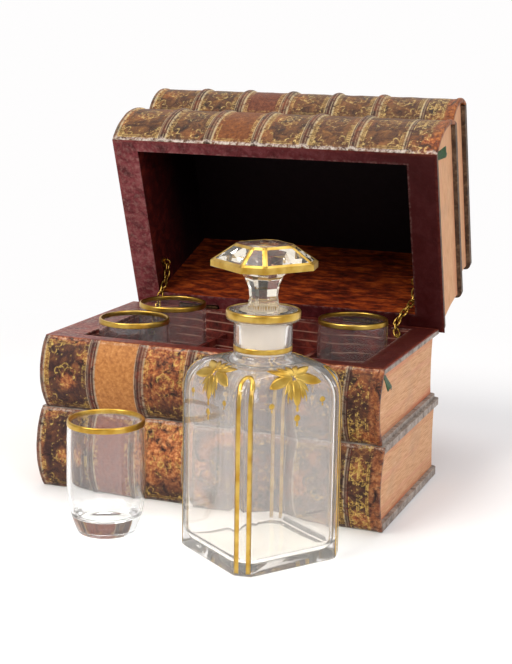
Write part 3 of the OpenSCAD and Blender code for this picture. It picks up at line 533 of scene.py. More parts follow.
def finishing(xs, arc, half_arc, edges, style):
    """What lies at each point: gilding, lettering piece and band, then rubbing, torn calf and fillets."""
    which = np.clip(np.searchsorted(edges, xs, side="right") - 1, 0, BANDS)
    tail, head = edges[-1] - xs, xs - edges[0]
    right_edge = edges[which + 1] - TAIL * (which == BANDS)
    u = xs - (edges[which] + right_edge) / 2
    half = (right_edge - edges[which]) / 2
    side, edge = half - np.abs(u), half_arc - np.abs(arc)
    field = (side > FIELD_SIDE) & (edge > FIELD_EDGE)

    r, theta = np.hypot(u, arc), np.arctan2(arc, u)
    flower = stroke(r - 3.4 - 3.6 * np.abs(np.cos(3 * theta)), 0.8)
    flower = np.maximum(flower, stroke(r - 1.8, 0.8))
    flower = np.maximum(flower, stroke(r - 5.6 - 2.6 * np.abs(np.sin(3 * theta)), 0.6))
    cu, cv = side - 6.6, edge - 5.8
    cr, ct = np.hypot(cu, cv), np.arctan2(cv, cu)
    fan = stroke(cr - 3.0 - 3.8 * np.abs(np.cos(3 * ct)), 0.8)
    fan = np.maximum(fan, stroke(cr, 2.2))
    half_step = STAR_STEP / 2
    sown = [(v + half_step) % STAR_STEP - half_step for v in (u, arc)]
    star = stroke(np.hypot(*sown), 1.0) * ramp(soft_noise(xs, arc, 12, 3), 0.0, 0.25)
    gilt = np.maximum(np.maximum(flower, fan), 0.75 * star) * field
    beads = 0.5 + 0.5 * np.cos(2 * math.pi * arc / 1.8)
    gilt = np.maximum(gilt, stroke(side - 4.7, 1.1) * beads * (edge > 3))
    for at in (3.5, 5.9):
        gilt = np.maximum(gilt, stroke(side - at, 0.5) * (edge > 3))
    for at in (3.2, 4.6):
        gilt = np.maximum(gilt, stroke(edge - at, 0.5) * (side > 3))

    in_tail = tail < TAIL
    roll = np.zeros_like(gilt)
    for at in ROLL_LINES:
        roll = np.maximum(roll, stroke(tail - at, 0.55))
    for middle in ROLL_MIDDLES:
        sway = 1.7 * np.sin(2 * math.pi * arc / ROLL_REPEAT)
        roll = np.maximum(roll, stroke(tail - middle - sway, 0.7))
        step = (arc + 0.75 * ROLL_REPEAT) % ROLL_REPEAT - ROLL_REPEAT / 2
        lobe = np.hypot(tail - middle + 0.7 * sway, step)
        roll = np.maximum(roll, stroke(lobe - 1.3, 0.6))
    gilt = np.where(in_tail, 1.2 * roll * (tail > 6.8), gilt)

    label = (np.isin(which, style["labels"]) & (side > 2.9)).astype(float)
    if style["plain"]:
        gilt = gilt * (1 - label)
    else:
        gilt = np.where(label > 0, gilt * ~field, gilt)
    band = stroke(np.where(in_tail, 9, side), 4.6, 0.8)
    fillet = np.maximum(stroke(side - 2.9, 0.9), 0.6 * stroke(side - 1.2, 0.5)) * ~in_tail

    low, high = half_arc + arc, half_arc - arc
    wobble = soft_noise(xs, arc, 11, 5)
    pale = style["pale_low"] * stroke(low - 1.3 - 0.8 * wobble, 2.4, 1.2)
    pale = np.maximum(pale, style["pale_high"] * stroke(high - 1.4 + 0.8 * wobble, 1.5, 1.2))
    torn = np.maximum(ramp(head, 7 + 3 * wobble, 3.5), ramp(tail, 8 + 2 * wobble, 5))
    torn = torn * style["torn_ends"]
    torn = np.maximum(torn, ramp(high, 6 + 5 * wobble, 1.5) * style["torn_high"])
    corner = ramp(tail, 15 + 3 * wobble, 9) * ramp(low, 20 + 5 * wobble, 11)
    torn = np.maximum(torn, style["torn_corner"] * corner)
    upper = ramp(arc, -0.7 * half_arc, 0.2 * half_arc)
    for panel, amount in style["torn_panels"].items():
        torn = np.maximum(torn, amount * (which == panel) * upper)
    torn = np.maximum(torn, style["torn_spots"] * ramp(soft_noise(xs, arc, 34, 8), 0.12, 0.4))
    return (gilt, label, band), (pale, torn, fillet)


# %% [markdown]
# ### The bent sheet
# The outer skin is lifted over the cords and sunk a little where it is rubbed, and an inner skin a
# leather's thickness behind closes it to a solid. What the finisher did is stored on the points for the
# material.


# %% Spine mesh
FIRST_SEED = 20


def spine(number, x0, x1, front, z0, height, body, style):
    half = height / 2 + EDGE_LAP
    radius = (half * half + BULGE * BULGE) / (2 * BULGE)
    centre_y, centre_z = front - BULGE + radius, z0 + height / 2
    reach = math.asin(height / 2 / radius)
    along = np.linspace(x0, x1, round((x1 - x0) / 0.5) + 1)
    across = np.linspace(-reach, reach, int(2 * reach * radius / 0.6))
    xs, angles = np.meshgrid(along, across, indexing="ij")
    arc = angles * radius
    shares = np.linspace(FIRST_BAND, LAST_BAND, BANDS)
    edges = np.array([x0, *(x0 + (x1 - x0) * shares), x1])
    lift = np.zeros_like(xs)
    for at in edges[1:-1]:
        lift = np.maximum(lift, CORD_RISE * np.clip(1 - ((xs - at) / CORD_HALF) ** 2, 0, 1) ** 0.8)
    for end in (x0, x1):
        away = np.abs(xs - end) / CAP_HALF - 1
        lift = np.maximum(lift, CAP_RISE * np.sqrt(np.clip(1 - away**2, 0, 1)))
    seed = FIRST_SEED + number
    lift += 0.3 * soft_noise(xs, arc, 17, seed) + 0.1 * soft_noise(xs, arc, 5, seed + 1) - 0.12
    rub = np.clip((np.abs(angles) - reach + 2.5 / radius) / (2.5 / radius), 0, 1)
    lift -= 0.45 * rub * (0.6 + 0.6 * soft_noise(xs, arc, 9, seed + 3))
    marks, worn = finishing(xs, arc, reach * radius, edges, style)
    lift = lift - 0.06 * np.minimum(marks[0], 1) + 0.1 * marks[1]
    shells = []
    for shell in (radius + lift, np.full_like(lift, radius - SKIN)):
        y = centre_y - shell * np.cos(angles)
        z = np.clip(centre_z + shell * np.sin(angles), z0 + 0.02, z0 + height - 0.02)
        shells.append(np.stack([xs, y, z], -1))
    name = f"book{number}_spine"
    made = piece_from(f"{name}_leather", *thin_solid(*shells), body)
    sheet = ((xs - x0) * MM, arc * MM, np.full_like(xs, seed * 0.1))
    for label, parts in (("marks", marks), ("worn", worn), ("sheet_m", sheet)):
        data = np.stack(parts, -1).reshape(-1, 3)
        layer = made.data.attributes.new(label, "FLOAT_VECTOR", "POINT")
        layer.data.foreach_set("vector", np.concatenate([data, data]).astype(np.float32).ravel())
    dress(made, tooled_calf(f"tooled_calf_book{number}", style), name)
    print(made.name, len(made.data.vertices), "points")


# %% [markdown]
# ### Tooled calf
# Sprinkled calf was stained in dark spots before it was gilded. Two centuries of handling have taken most
# of the gold off the high places, torn the surface down to its red-brown fibre at the ends, and rubbed the
# joints grey. So the material lays its coats in that order: calf, torn calf, lettering piece, bands,
# rubbing, and at last what is left of the gold, broken up by a fine noise.


# %% Tooled calf
def tooled_calf(name, style):
    material, tree, shader = start_material(name)
    sheet, marks, worn = (
        add(tree, "Attribute", attribute_name=layer).outputs["Vector"]
        for layer in ("sheet_m", "marks", "worn")
    )
    gilt, label, band = add(tree, "SeparateXYZ", {0: marks}).outputs
    pale, torn, fillet = add(tree, "SeparateXYZ", {0: worn}).outputs
    spots, flecks, patches = (
        add(tree, "TexNoise", {"Vector": sheet, "Scale": per_mm(size), "Detail": 6, **rest})
        for size, rest in (
            (7, {"Roughness": 0.7, "Distortion": 0.7}),
            (2.6, {"Roughness": 0.75}),
            (16, {"Roughness": 0.6}),
        )
    )
    both = add(tree, "Mix", {0: 0.5, 2: flecks, 3: patches})
    start = style["gold_from"]
    gold_left = broken(tree, gilt, both, start, start + 0.055, style["gold_most"])
    layers = []
    for mask, colours, noise, low, high in (
        (None, style["calf"], spots, 0.32, 0.7),
        (broken(tree, torn, spots, 0.36, 0.52), style["torn"], flecks, 0.38, 0.62),
        (label, style["label"], flecks, 0.32, 0.7),
        (broken(tree, band, spots, 0.2, 0.35, 0.85), style["band"], spots, 0.32, 0.7),
        (broken(tree, fillet, flecks, 0.38, 0.5, 0.9), style["fillet"], None, 0, 0),
        (broken(tree, pale, flecks, 0.4, 0.54, 0.9), ("#8a7468", "#d2c6ba"), flecks, 0.4, 0.6),
        (gold_left, style["gold"], flecks, 0.4, 0.62),
    ):
        if noise:
            stops = list(zip(np.linspace(low, high, len(colours)), colours))
            colours = add(tree, "ValToRGB", {"Fac": noise}, stops)
        layers.append((mask, colours))
    colour = coats(tree, layers[0][1], layers[1:])
    grain = add(tree, "TexVoronoi", {"Vector": sheet, "Scale": per_mm(0.8)}, feature="DISTANCE_TO_EDGE")
    fine = add(tree, "Bump", {"Height": grain, "Strength": 0.2, "Distance": 0.3 * MM})
    rough_skin = {"Height": flecks, "Strength": 0.55, "Distance": 1.1 * MM, "Normal": fine}
    shine = broken(tree, gold_left, flecks, 0.0, 0.1, 0.35)
    polish = add(tree, "MapRange", {"Value": spots, 3: 0.36, 4: 0.66})
    look = {"Base Color": colour, "Metallic": shine, "Roughness": polish, "Specular IOR Level": 0.25}
    plug(tree, shader, {**look, "Normal": add(tree, "Bump", rough_skin)})
    return material


# %% [markdown]
# ### Four bindings
# The two books of the box and the two of the lid are a pair each: redder and more torn below, browner and
# duller above. A style holds its colours from dark to light, where its lettering pieces are, and how much
# of each kind of wear it has. Torn panels are counted from the left.


# %% The four spines
base_style = dict(
    calf=("#1d1010", "#3a2220", "#583627", "#86552f"),
    torn=("#6a2c18", "#ae6034", "#da965a"),
    label=("#5a2a1c", "#80402a", "#9a5a3c"),
    band=("#251210", "#4c2018", "#7c2f1e"),
    gold=("#93702c", "#dcbb6a"),
    fillet="#b0a088",
    gold_from=0.48,
    gold_most=1.0,
    labels=[1],
    plain=False,
    pale_low=0.2,
    pale_high=0.75,
    torn_ends=0.5,
    torn_high=0.45,
    torn_panels={2: 1.0},
    torn_spots=0.7,
    torn_corner=0.0,
)
lid_style = dict(
    base_style,
    calf=("#22130b", "#4a2c18", "#6c4626", "#8f6436"),
    torn=("#5a2410", "#9c5026", "#cc8444"),
    label=("#52260f", "#744018", "#965a2a"),
    band=("#1e0e0a", "#4a2014", "#8a4526"),
    gold=("#8e6e36", "#dabc7a"),
    fillet="#c6b48e",
    gold_from=0.465,
    labels=[2],
    pale_low=1.0,
    pale_high=0.0,
    torn_ends=0.7,
    torn_high=0.0,
    torn_panels={},
    torn_spots=0.3,
)
tan_label = ("#94582c", "#b97a40", "#cf9356")
styles = (
    dict(base_style, torn=("#7a3a20", "#bc7040", "#e2a26a")),
    dict(
        base_style, label=tan_label, plain=True, pale_high=0.35, torn_high=0.9, torn_panels={2: 0.9}
    ),
    dict(lid_style, torn_corner=1.0),
    dict(lid_style, label=("#48200f", "#683620", "#885030"), pale_low=0.8, gold_most=0.85),
)
# Left end, right end, joint's y, lowest z and height in millimetres, with the lid closed, and the body.
spine_plan = (
    (-117.5, 117.5, -66.4, 0.0, 54.0, "base"),
    (-115.0, 115.0, -64.9, 54.0, 47.8, "base"),
    (-111.0, 119.0, -62.9, 102.2, 53.8, "lid"),
    (-108.0, 116.0, -60.9, 156.0, 40.0, "lid"),
)
for number, (plan, style) in enumerate(zip(spine_plan, styles), 1):
    spine(number, *plan, style)

# %% [markdown]
# ## Glass
# The decanter and tumblers are clear lead glass. Glass shows by what it bends, so its surfaces have to be
# smooth: they are made again as lofts and revolves of many fine rings. Old glass is never quite clear. It
# is scratched and has dried dregs in it, which a small share of plain white scatter stands for. Lamps
# shine through to the table as they do through thin glass: a ray that looks for a lamp goes straight on.


# %% Clear glass
def clear_glass(name, tint, rough=0.0, haze=0.03):
    material, tree, shader = start_material(name)
    dust = add(tree, "TexNoise", {"Vector": book_point(tree), "Scale": per_mm(25), "Detail": 3})
    polish = add(tree, "MapRange", {"Value": dust, 1: 0.3, 2: 0.8, 3: rough, 4: rough + 0.03})
    look = {"Base Color": tint, "Roughness": polish, "IOR": 1.5, "Transmission Weight": 1 - haze}
    plug(tree, shader, look)
    to_lamp = add(tree, "LightPath").outputs["Is Shadow Ray"]
    through = add(tree, "BsdfTransparent", {"Color": "#f2f4f2"})
    mixed = add(tree, "MixShader", {0: to_lamp, 1: shader, 2: through})
    plug(tree, tree.nodes["Material Output"], {"Surface": mixed})
    return material


glass = clear_glass("lead_glass", "#fcfdfd", haze=0.015)
clouded_glass = clear_glass("clouded_lead_glass", "#fcf9f6", haze=0.065)
SEGMENTS = 96


def turned(profile, centre):
    """Rings of points from a profile of (radius, height). A radius of nothing gives one point."""
    rings = []
    for radius, z in profile:
        angles = np.arange(SEGMENTS if radius > 0 else 1) * math.tau / SEGMENTS
        ring = [radius * np.cos(angles), radius * np.sin(angles), np.full_like(angles, z)]
        rings.append(np.stack(ring, -1) + centre)
    return rings


def skin(name, rings, body, loop=False):
    """Joins rings of points into a closed solid. A ring of one point closes an end with a fan, and in a
    loop the last ring joins the first."""
    starts = np.cumsum([0] + [len(ring) for ring in rings])
    numbers = [range(a, b) for a, b in zip(starts, starts[1:])]
    faces = []
    for low, high in zip(numbers, numbers[1:] + (numbers[:1] if loop else [])):
        for k in range(max(len(low), len(high))):
            corners = ((low, k), (low, k + 1), (high, k + 1), (high, k))
            faces.append(list(dict.fromkeys(ring[i % len(ring)] for ring, i in corners)))
    return piece_from(name, np.concatenate(rings), faces, body)


# %% [markdown]
# ### Tumblers
# Each tumbler is blown thin, with a heavy foot: 46.5 mm across its rim and 70 mm high. The band of
# gilding is fired on, so it is a film that follows the glass over its lip.

# %% Tumblers
GLASS_D, GLASS_H, GLASS_WALL, FOOT_T = 46.5, 70.0, 1.7, 9.0
FOOT_EDGE, FOOT_HOLLOW = 1.5, 5
# A film of gold lies just off the glass, and its outside is a film's thickness out.
OFF_GLASS, FILM, RIM_FILM = 0.02, 0.1, 0.09
belly, foot, top = GLASS_D * 0.514, GLASS_D * 0.37, GLASS_D / 2


def glass_radius(z):
    t = z / GLASS_H
    if t < 0.5:
        return foot + (belly - foot) * (1 - (1 - 2 * t) ** 2.6)
    return belly + (top - belly) * (2 * t - 1) ** 2


lip = GLASS_WALL / 2
lip_r = glass_radius(GLASS_H) - lip
over_lip = [
    (lip_r + lip * math.cos(a), GLASS_H - lip + lip * math.sin(a))
    for a in np.linspace(0.2, math.pi - 0.2, 9)
]


def tumbler_profile():
    edge_r = glass_radius(FOOT_EDGE) - FOOT_EDGE
    outer = [(0, 0.5), (foot * 0.55, 0.35), (foot * 0.8, 0.05), (edge_r, 0.0)]
    for a in math.pi / 10 * np.arange(1, 5):
        outer.append((edge_r + FOOT_EDGE * math.sin(a), FOOT_EDGE - FOOT_EDGE * math.cos(a)))
    outer += [(glass_radius(z), z) for z in np.linspace(FOOT_EDGE, GLASS_H - 0.8, 40)]
    bowl_z = FOOT_T + FOOT_HOLLOW
    inner = [(glass_radius(z) - GLASS_WALL, z) for z in np.linspace(GLASS_H - 1.2, bowl_z, 34)]
    start = glass_radius(bowl_z) - GLASS_WALL
    inner += [
        (start * math.cos(a), bowl_z - FOOT_HOLLOW * math.sin(a)) for a in np.linspace(0.12, 1.45, 14)
    ]
    return outer + over_lip + inner + [(0, FOOT_T)]


def rim_gilding(height=3.3, inside=1.4):
    """Up the outside, over the lip and down the inside."""
    path = [(glass_radius(z), z) for z in np.linspace(GLASS_H - height, GLASS_H - lip, 8)]
    down = np.linspace(GLASS_H - lip, GLASS_H - lip - inside, 4)
    return path + over_lip + [(glass_radius(z) - GLASS_WALL, z) for z in down]


def film_ring(name, path, film, centre, body):
    """A ring of gilding: a closed loop round a path of (radius, height), turned about an upright axis."""
    points = np.array(path, float)
    step = np.gradient(points, axis=0)
    normal = np.stack([step[:, 1], -step[:, 0]], -1)
    normal /= np.linalg.norm(normal, axis=1)[:, None]
    loop = np.concatenate([points + normal * film, (points + normal * OFF_GLASS)[::-1]])
    print(name, "of", len(loop), "rings")
    return dress(skin(name, turned(loop, centre), body, loop=True), gilding)


tumblers = ("tumbler_left_front", "tumbler_left_back", "tumbler_right_back", "tumbler_on_table")
for name in tumblers:
    low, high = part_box(name)
    centre = ((low.x + high.x) / 2 / MM, (low.y + high.y) / 2 / MM, low.z / MM)
    made = skin(f"{name}_glass", turned(tumbler_profile(), centre), name)
    dress(made, glass, name)
    film_ring(f"{name}_gilt_rim", rim_gilding(), RIM_FILM, centre, name)
    print(name, "stands at", [round(v, 1) for v in centre])

# %% [markdown]
# ### Decanter
# The decanter was blown into a square mould and its upright edges were cut flat afterwards. From the
# shoulder up it draws in to a round neck. A loft of rings gives that: each ring is a square with cut
# corners that turns step by step into a circle.

# %% Decanter
SIDE, CUT, DEC_WALL, FLOOR_T = 72.0, 7.0, 4.0, 5.0
SHOULDER_Z, NECK_Z, RING_Z, RING_TOP = 92.0, 119.0, 138.0, 144.0
NECK_R, RING_R, PLUG_R, PLUG_FOOT, PLUG_TAPER, PLUG_GAP = 16.8, 21.3, 13.6, 119.0, 0.04, 0.06
# The foot's rounding outside and inside, the lip's rounding, and how full the shoulder is.
HEEL, BOWL, LIP_ROUND = 1.6, 7, 2.2
FULLNESS, CROWN, COLLAR = 0.77, 0.86, 1.25
SOFT_CUT = 1.2
low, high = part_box("decanter")
decanter_at = np.array([(low.x + high.x) / 2 / MM, (low.y + high.y) / 2 / MM])
decanter_turn = math.radians(54)


def placed(ring, z):
    """A ring of (x, y) points turned as the decanter stands, in its place, at a height."""
    c, s = math.cos(decanter_turn), math.sin(decanter_turn)
    x, y = np.array(ring, float).T
    across, along = decanter_at
    return np.stack([across + c * x - s * y, along + s * x + c * y, np.full_like(x, z)], -1)


def cut_square_ring(half, cut, round_by=0):
    """Points of a square with cut corners, drawn towards a circle as round_by goes to 1."""
    ring = []
    for k in range(SEGMENTS):
        angle = 2 * math.pi * (k + 0.5) / SEGMENTS
        c, s = math.cos(angle), math.sin(angle)
        square = half / max(abs(c), abs(s))
        corner = (2 * half - cut) / (abs(c) + abs(s))
        blend = max(0.0, 1 - abs(square - corner) / SOFT_CUT)
        reach = min(square, corner) - 0.15 * SOFT_CUT * blend * blend
        reach = reach * (1 - round_by) + half * round_by
        ring.append((reach * c, reach * s))
    return ring


def shoulder_ring(half, cut, z0, z1, top_r, share):
    """A ring on the shoulder. Up to the crown it is a full curve, and from there it sweeps up."""
    height = z1 - z0
    collar = top_r * COLLAR
    if share < CROWN:
        angle = math.pi / 2 * share / CROWN
        wide = collar + (half - collar) * math.cos(angle) ** FULLNESS
        z = z0 + height * CROWN * math.sin(angle) ** FULLNESS
    else:
        t = (share - CROWN) / (1 - CROWN)
        wide = top_r + (collar - top_r) * (1 - t) ** 1.6
        z = z0 + height * (CROWN + (1 - CROWN) * t)
    return cut_square_ring(wide, cut * wide / half, min(share * 1.02, 1) ** 3.5), z


def circle(radius):
    return cut_square_ring(radius, 0, 1.0)


half_out, half_in, cut_in = SIDE / 2, SIDE / 2 - DEC_WALL, CUT - 2
outside = []
for a in np.linspace(0, math.pi / 2, 6):
    edge = cut_square_ring(half_out - HEEL + HEEL * math.sin(a), CUT)
    outside.append((edge, HEEL - HEEL * math.cos(a)))
outside += [(cut_square_ring(half_out, CUT), z) for z in np.linspace(6, SHOULDER_Z, 18)]
for share in np.linspace(0.03, 1, 34):
    outside.append(shoulder_ring(half_out, CUT, SHOULDER_Z, NECK_Z, NECK_R, share))
outside += [(circle(NECK_R), z) for z in np.linspace(NECK_Z + 1, RING_Z - 0.6, 10)]
for a in np.linspace(0, math.pi / 2, 6):
    edge = circle(RING_R - LIP_ROUND + LIP_ROUND * math.sin(a))
    outside.append((edge, RING_Z + 1.6 - 1.6 * math.cos(a)))
outside += [(circle(RING_R), z) for z in (RING_Z + 3, RING_TOP - 0.8)]
outside += [(circle(RING_R - 0.3), RING_TOP - 0.2), (circle(RING_R - 0.9), RING_TOP)]
bore = PLUG_R + PLUG_GAP
bore_foot = bore - PLUG_TAPER * (RING_TOP - PLUG_FOOT)
inside = [(circle(bore + 0.5), RING_TOP), (circle(bore), RING_TOP - 0.5)]
inside += [(circle(bore - PLUG_TAPER * (RING_TOP - z)), z) for z in (138.0, 130.0, 124.0, PLUG_FOOT)]
for share in np.linspace(1, 0.03, 30):
    inside.append(shoulder_ring(half_in, cut_in, SHOULDER_Z, NECK_Z - DEC_WALL, bore_foot, share))
inside += [(cut_square_ring(half_in, cut_in), z) for z in np.linspace(SHOULDER_Z, FLOOR_T + BOWL, 16)]
for a in np.linspace(0, math.pi / 2, 9)[1:]:
    edge = cut_square_ring(half_in - BOWL + BOWL * math.cos(a), cut_in)
    inside.append((edge, FLOOR_T + BOWL - BOWL * math.sin(a)))
rings = [placed(*ring) for ring in [([(0, 0)], 0.0), *outside, *inside, ([(0, 0)], FLOOR_T)]]
decanter_glass = dress(skin("decanter_glass", rings, "decanter"), clouded_glass, "decanter")
print("decanter at", [round(v, 1) for v in decanter_at])

# %% [markdown]
# ### Gilding on the decanter
# The gold was painted on with a brush and fired. Each stroke is a thin sheet laid on the glass: its points
# are given by face, sideways place and height, and a ray from outside finds the glass under each.

# %% Laying gold on glass
surface = BVHTree.FromPolygons(
    [v.co.copy() for v in decanter_glass.data.vertices],
    [tuple(p.vertices) for p in decanter_glass.data.polygons],
)
ARC_LENGTH = 30.0


def glass_ray(face, sideways, height):
    """A ray onto the decanter. Faces are whole numbers, and the cut edges lie half way between them.
    Above the shoulder's foot, height is measured along the curve, so the ray turns with it."""
    angle = decanter_turn + math.pi / 2 * face
    out = np.array([math.cos(angle), math.sin(angle)])
    side = np.array([-out[1], out[0]])
    wide = half_out if face == int(face) else (SIDE - CUT) / math.sqrt(2)
    focus = decanter_at + out * wide * COLLAR * NECK_R / half_out + side * sideways
    turn = min(max(height - SHOULDER_Z, 0) / ARC_LENGTH, 1) * math.pi / 2
    aim = Vector((*(-out * math.cos(turn)), -math.sin(turn)))
    start = Vector((*focus, min(height, SHOULDER_Z))) - aim * 60
    return start * MM, aim


def laid(rows):
    """One stroke, given as rows of (face, sideways, height), as a thin sheet on the glass."""
    points, normals = [], []
    for point in (point for row in rows for point in row):
        origin, aim = glass_ray(*point)
        hit, normal, _, _ = surface.ray_cast(origin, aim)
        points.append(hit / MM)
        normals.append(-normal if normal.dot(aim) > 0 else normal)
    points, normals = (np.array(v).reshape(len(rows), -1, 3) for v in (points, normals))
    return thin_solid(points + normals * FILM, points + normals * OFF_GLASS)


def gild(name, sheets, body, smooth=True):
    """One piece of gilding from many thin sheets."""
    starts = np.cumsum([0] + [len(points) for points, _ in sheets])
    points = np.concatenate([points for points, _ in sheets])
    faces = np.concatenate([faces + start for (_, faces), start in zip(sheets, starts)])
    print(name, "of", len(sheets), "sheets")
    return dress(piece_from(name, points, faces, body, smooth), gilding)


def leaf(face, x, z, angle, length, width, curl=0.0, steps=12):
    """One painted leaf, pointed at both ends, from its stem at x, z."""
    rows = []
    for i in range(steps + 1):
        t = i / steps
        bend = math.radians(angle) + curl * t
        reach = length * t
        cx = x + reach * math.cos(bend)
        cz = z + reach * math.sin(bend)
        half = width / 2 * (math.sin(math.pi * min(t * 0.97 + 0.015, 1)) ** 0.75) + 0.03
        nx, nz = -math.sin(bend), math.cos(bend)
        rows.append([(face, cx + nx * half * j, cz + nz * half * j) for j in (-1, -0.4, 0.4, 1)])
    return rows


def dot(face, x, z, radius):
    return leaf(face, x - radius, z, 0, 2 * radius, 2 * radius, steps=6)


def drop(face, x, z, length, width):
    """A pendant drop: narrow at its top, round at its foot."""
    rows = []
    for i in range(11):
        t = i / 10
        half = width / 2 * math.sqrt(max(math.sin(math.pi * t**0.7), 0.0)) + 0.03
        rows.append([(face, x + half * j, z - length * t) for j in (-1, -0.4, 0.4, 1)])
    return rows


# %% [markdown]
# ### Leaf sprays
# On each shoulder hangs a spray: leaves to both sides of a stem, one upright leaf, and drops below. All are
# made from one pointed leaf and one drop, as a gilder makes them with one brush.

# %% Leaf sprays
# Each leaf has its stem, its angle in degrees, its length and width in millimetres, and its curl.
spray = []
for face in range(4):
    for way in (-1, 1):
        turn = 90 - 90 * way
        spray += [
            leaf(face, way * 0.6, 112.2, turn - way * 6, 17.0, 5.6, -0.12 * way),
            leaf(face, way * 0.6, 113.4, turn + way * 14, 14.0, 4.4, 0.1 * way),
            leaf(face, way * 0.6, 113.8, turn + way * 42, 8.5, 3.2),
            leaf(face, way * 1.0, 110.6, turn - way * 38, 13.0, 1.5, -0.5 * way),
            leaf(face, way * 1.2, 111.0, turn - way * 26, 9.5, 2.2, -0.35 * way),
            drop(face, way * 3.9, 110.0, 9.5, 2.7),
            dot(face, way * 17.0, 98.5, 1.9),
            leaf(face, way * 17.0, 96.4, 270, 2.4, 1.0),
        ]
    spray += [
        leaf(face, 0, 112.5, 90, 7.5, 4.2),
        drop(face, 0, 111.0, 15.0, 6.0),
        leaf(face, 0, 96.6, 270, 4.5, 1.8),
        dot(face, 0, 88.5, 2.1),
        leaf(face, 0, 86.8, 270, 3.2, 1.5),
    ]
gild("decanter_leaf_sprays", [laid(rows) for rows in spray], "decanter")

# %% [markdown]
# ### Lines and rings
# A line runs up each side of every cut edge, and the two meet in an arch on the shoulder. A ring goes round
# the foot of the neck, and the rim of the lip is gilded all over.

# %% Lines and rings
LINE_AT, LINE_WIDE, ARCH_FOOT = 3.45, 2.7, 107.0
edge_lines = []
for corner in (0.5, 1.5, 2.5, 3.5):
    path = [(-LINE_AT, z, 0.0) for z in np.linspace(2.2, ARCH_FOOT, 30)]
    for angle in np.linspace(0.1, 1, 9) * math.pi / 2:
        path.append((-LINE_AT * math.cos(angle), ARCH_FOOT + 6.5 * math.sin(angle), angle))
    for way in (1, -1):
        rows = []
        for sideways, z, angle in path:
            across = [LINE_WIDE / 2 * j for j in (-1, -0.35, 0.35, 1)]
            c, s = math.cos(angle), math.sin(angle)
            rows.append([(corner, way * (sideways - w * c), z + w * s) for w in across])
        edge_lines.append(laid(rows))
gild("decanter_edge_lines", edge_lines, "decanter")
on_ring = [(RING_R, z) for z in np.linspace(RING_Z + 2.4, RING_TOP - 0.9, 5)]
over_ring = [(RING_R - inward, RING_TOP - down) for inward, down in ((0.3, 0.2), (0.9, 0), (1.8, 0))]
under_ring = [(RING_R - 0.55, RING_Z + 1.2), (RING_R - 0.1, RING_Z + 2.0)]
for name, path in (
    ("decanter_neck_ring", [(NECK_R, z) for z in np.linspace(120.8, 123.8, 5)]),
    ("decanter_lip_gilt", under_ring + on_ring + over_ring),
):
    film_ring(name, path, FILM, (*decanter_at, 0), "decanter")

# %% [markdown]
# ### Stopper
# The stopper was ground into the neck with emery, which leaves its plug white and matt below the clear
# cut head. The CAD solid has the facets, so it stays, with one material for the polished cuts and one
# for the ground plug. The gilding is a band round the head's rim and along each cut.

# %% Stopper
ground_glass = clear_glass("emery_ground_glass", "#e6dcd0", 0.45, 0.6)
head_glass = clear_glass("gold_flushed_glass", "#f7efdf", haze=0.02)
stopper = nodes["stopper"]
stopper.data.materials.clear()
stopper.data.materials.append(head_glass)
stopper.data.materials.append(ground_glass)
for polygon in stopper.data.polygons:
    middle = sum((stopper.data.vertices[i].co.z for i in polygon.vertices)) / len(polygon.vertices)
    polygon.material_index = 1 if middle < (RING_TOP - 1.5) * MM else 0
HEAD_SIDE, HEAD_CUT, HEAD_Z, HEAD_RIM, HEAD_TOP = 51.5, 9.72, 168.5, 172.0, 181.5
GILT_WIDE = 1.5


def head_corner(index, scale, cut_scale, z):
    """One of the eight corners of the head's outline, at a share of its size and a height."""
    a, b = HEAD_SIDE / 2 * scale, HEAD_SIDE / 2 * scale - HEAD_CUT * cut_scale
    outline = [(a, -b), (a, b), (b, a), (-b, a), (-a, b), (-a, -b), (-b, -a), (b, -a)]
    return placed([outline[index % 8]], z)[0]


def facet_strip(low, high):
    """A thin sheet between two edges on a facet, lifted off the glass."""
    low, high = np.array(low), np.array(high)
    normal = np.cross(np.gradient(low, axis=0), high - low)
    normal /= np.linalg.norm(normal, axis=1)[:, None]
    outward = np.sum(normal * (low - [*decanter_at, 165.0]), axis=1)
    grid, normal = np.stack([low, high], 1), (normal * np.sign(outward)[:, None])[:, None]
    return thin_solid(grid + normal * FILM, grid + normal * OFF_GLASS)


strips = []
for k in range(8):
    foot_p, foot_q, low_p, low_q = (
        head_corner(k + side, 1, 1, z) for z in (HEAD_Z + 0.1, HEAD_RIM) for side in (0, 1)
    )
    top_p, top_q = (head_corner(k + side, 0.53, 0.5, HEAD_TOP) for side in (0, 1))
    strips.append(facet_strip([foot_p, foot_q], [low_p, low_q]))
    wide = GILT_WIDE / np.linalg.norm(low_q - low_p)
    wide_top = min(GILT_WIDE / np.linalg.norm(top_q - top_p), 0.3)
    for a, b, c, d in ((low_p, top_p, low_q, top_q), (low_q, top_q, low_p, top_p)):
        strips.append(facet_strip([a, b], [a + (c - a) * wide, b + (d - b) * wide_top]))
    rise_p, rise_q = (top_p - low_p) * 0.12, (top_q - low_q) * 0.12
    strips.append(facet_strip([low_p, low_q], [low_p + rise_p, low_q + rise_q]))
    strips.append(facet_strip([top_p - rise_p * 1.1, top_q - rise_q * 1.1], [top_p, top_q]))
gild("stopper_gilt_edges", strips, "stopper", smooth=False)

# %% [markdown]
# ## Chains
# A slack brass chain on each side keeps the lid from falling further back. Its oval links are in the CAD
# model at rest, and a smooth-shaded copy of the links, in old brass, takes the place of each chain.

# %% Chains
for name, eye_x in (("chain_left", -90.0), ("chain_right", 95.5)):
    source = nodes[name]
    links = bpy.data.objects.new(f"{name}_links", source.data.copy())
    bpy.context.scene.collection.objects.link(links)
    links.data.materials.clear()
    links.data.polygons.foreach_set("use_smooth", [True] * len(links.data.polygons))
    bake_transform(links)
    dress(links, brass, name)
    print(links.name, len(links.data.vertices), "points")

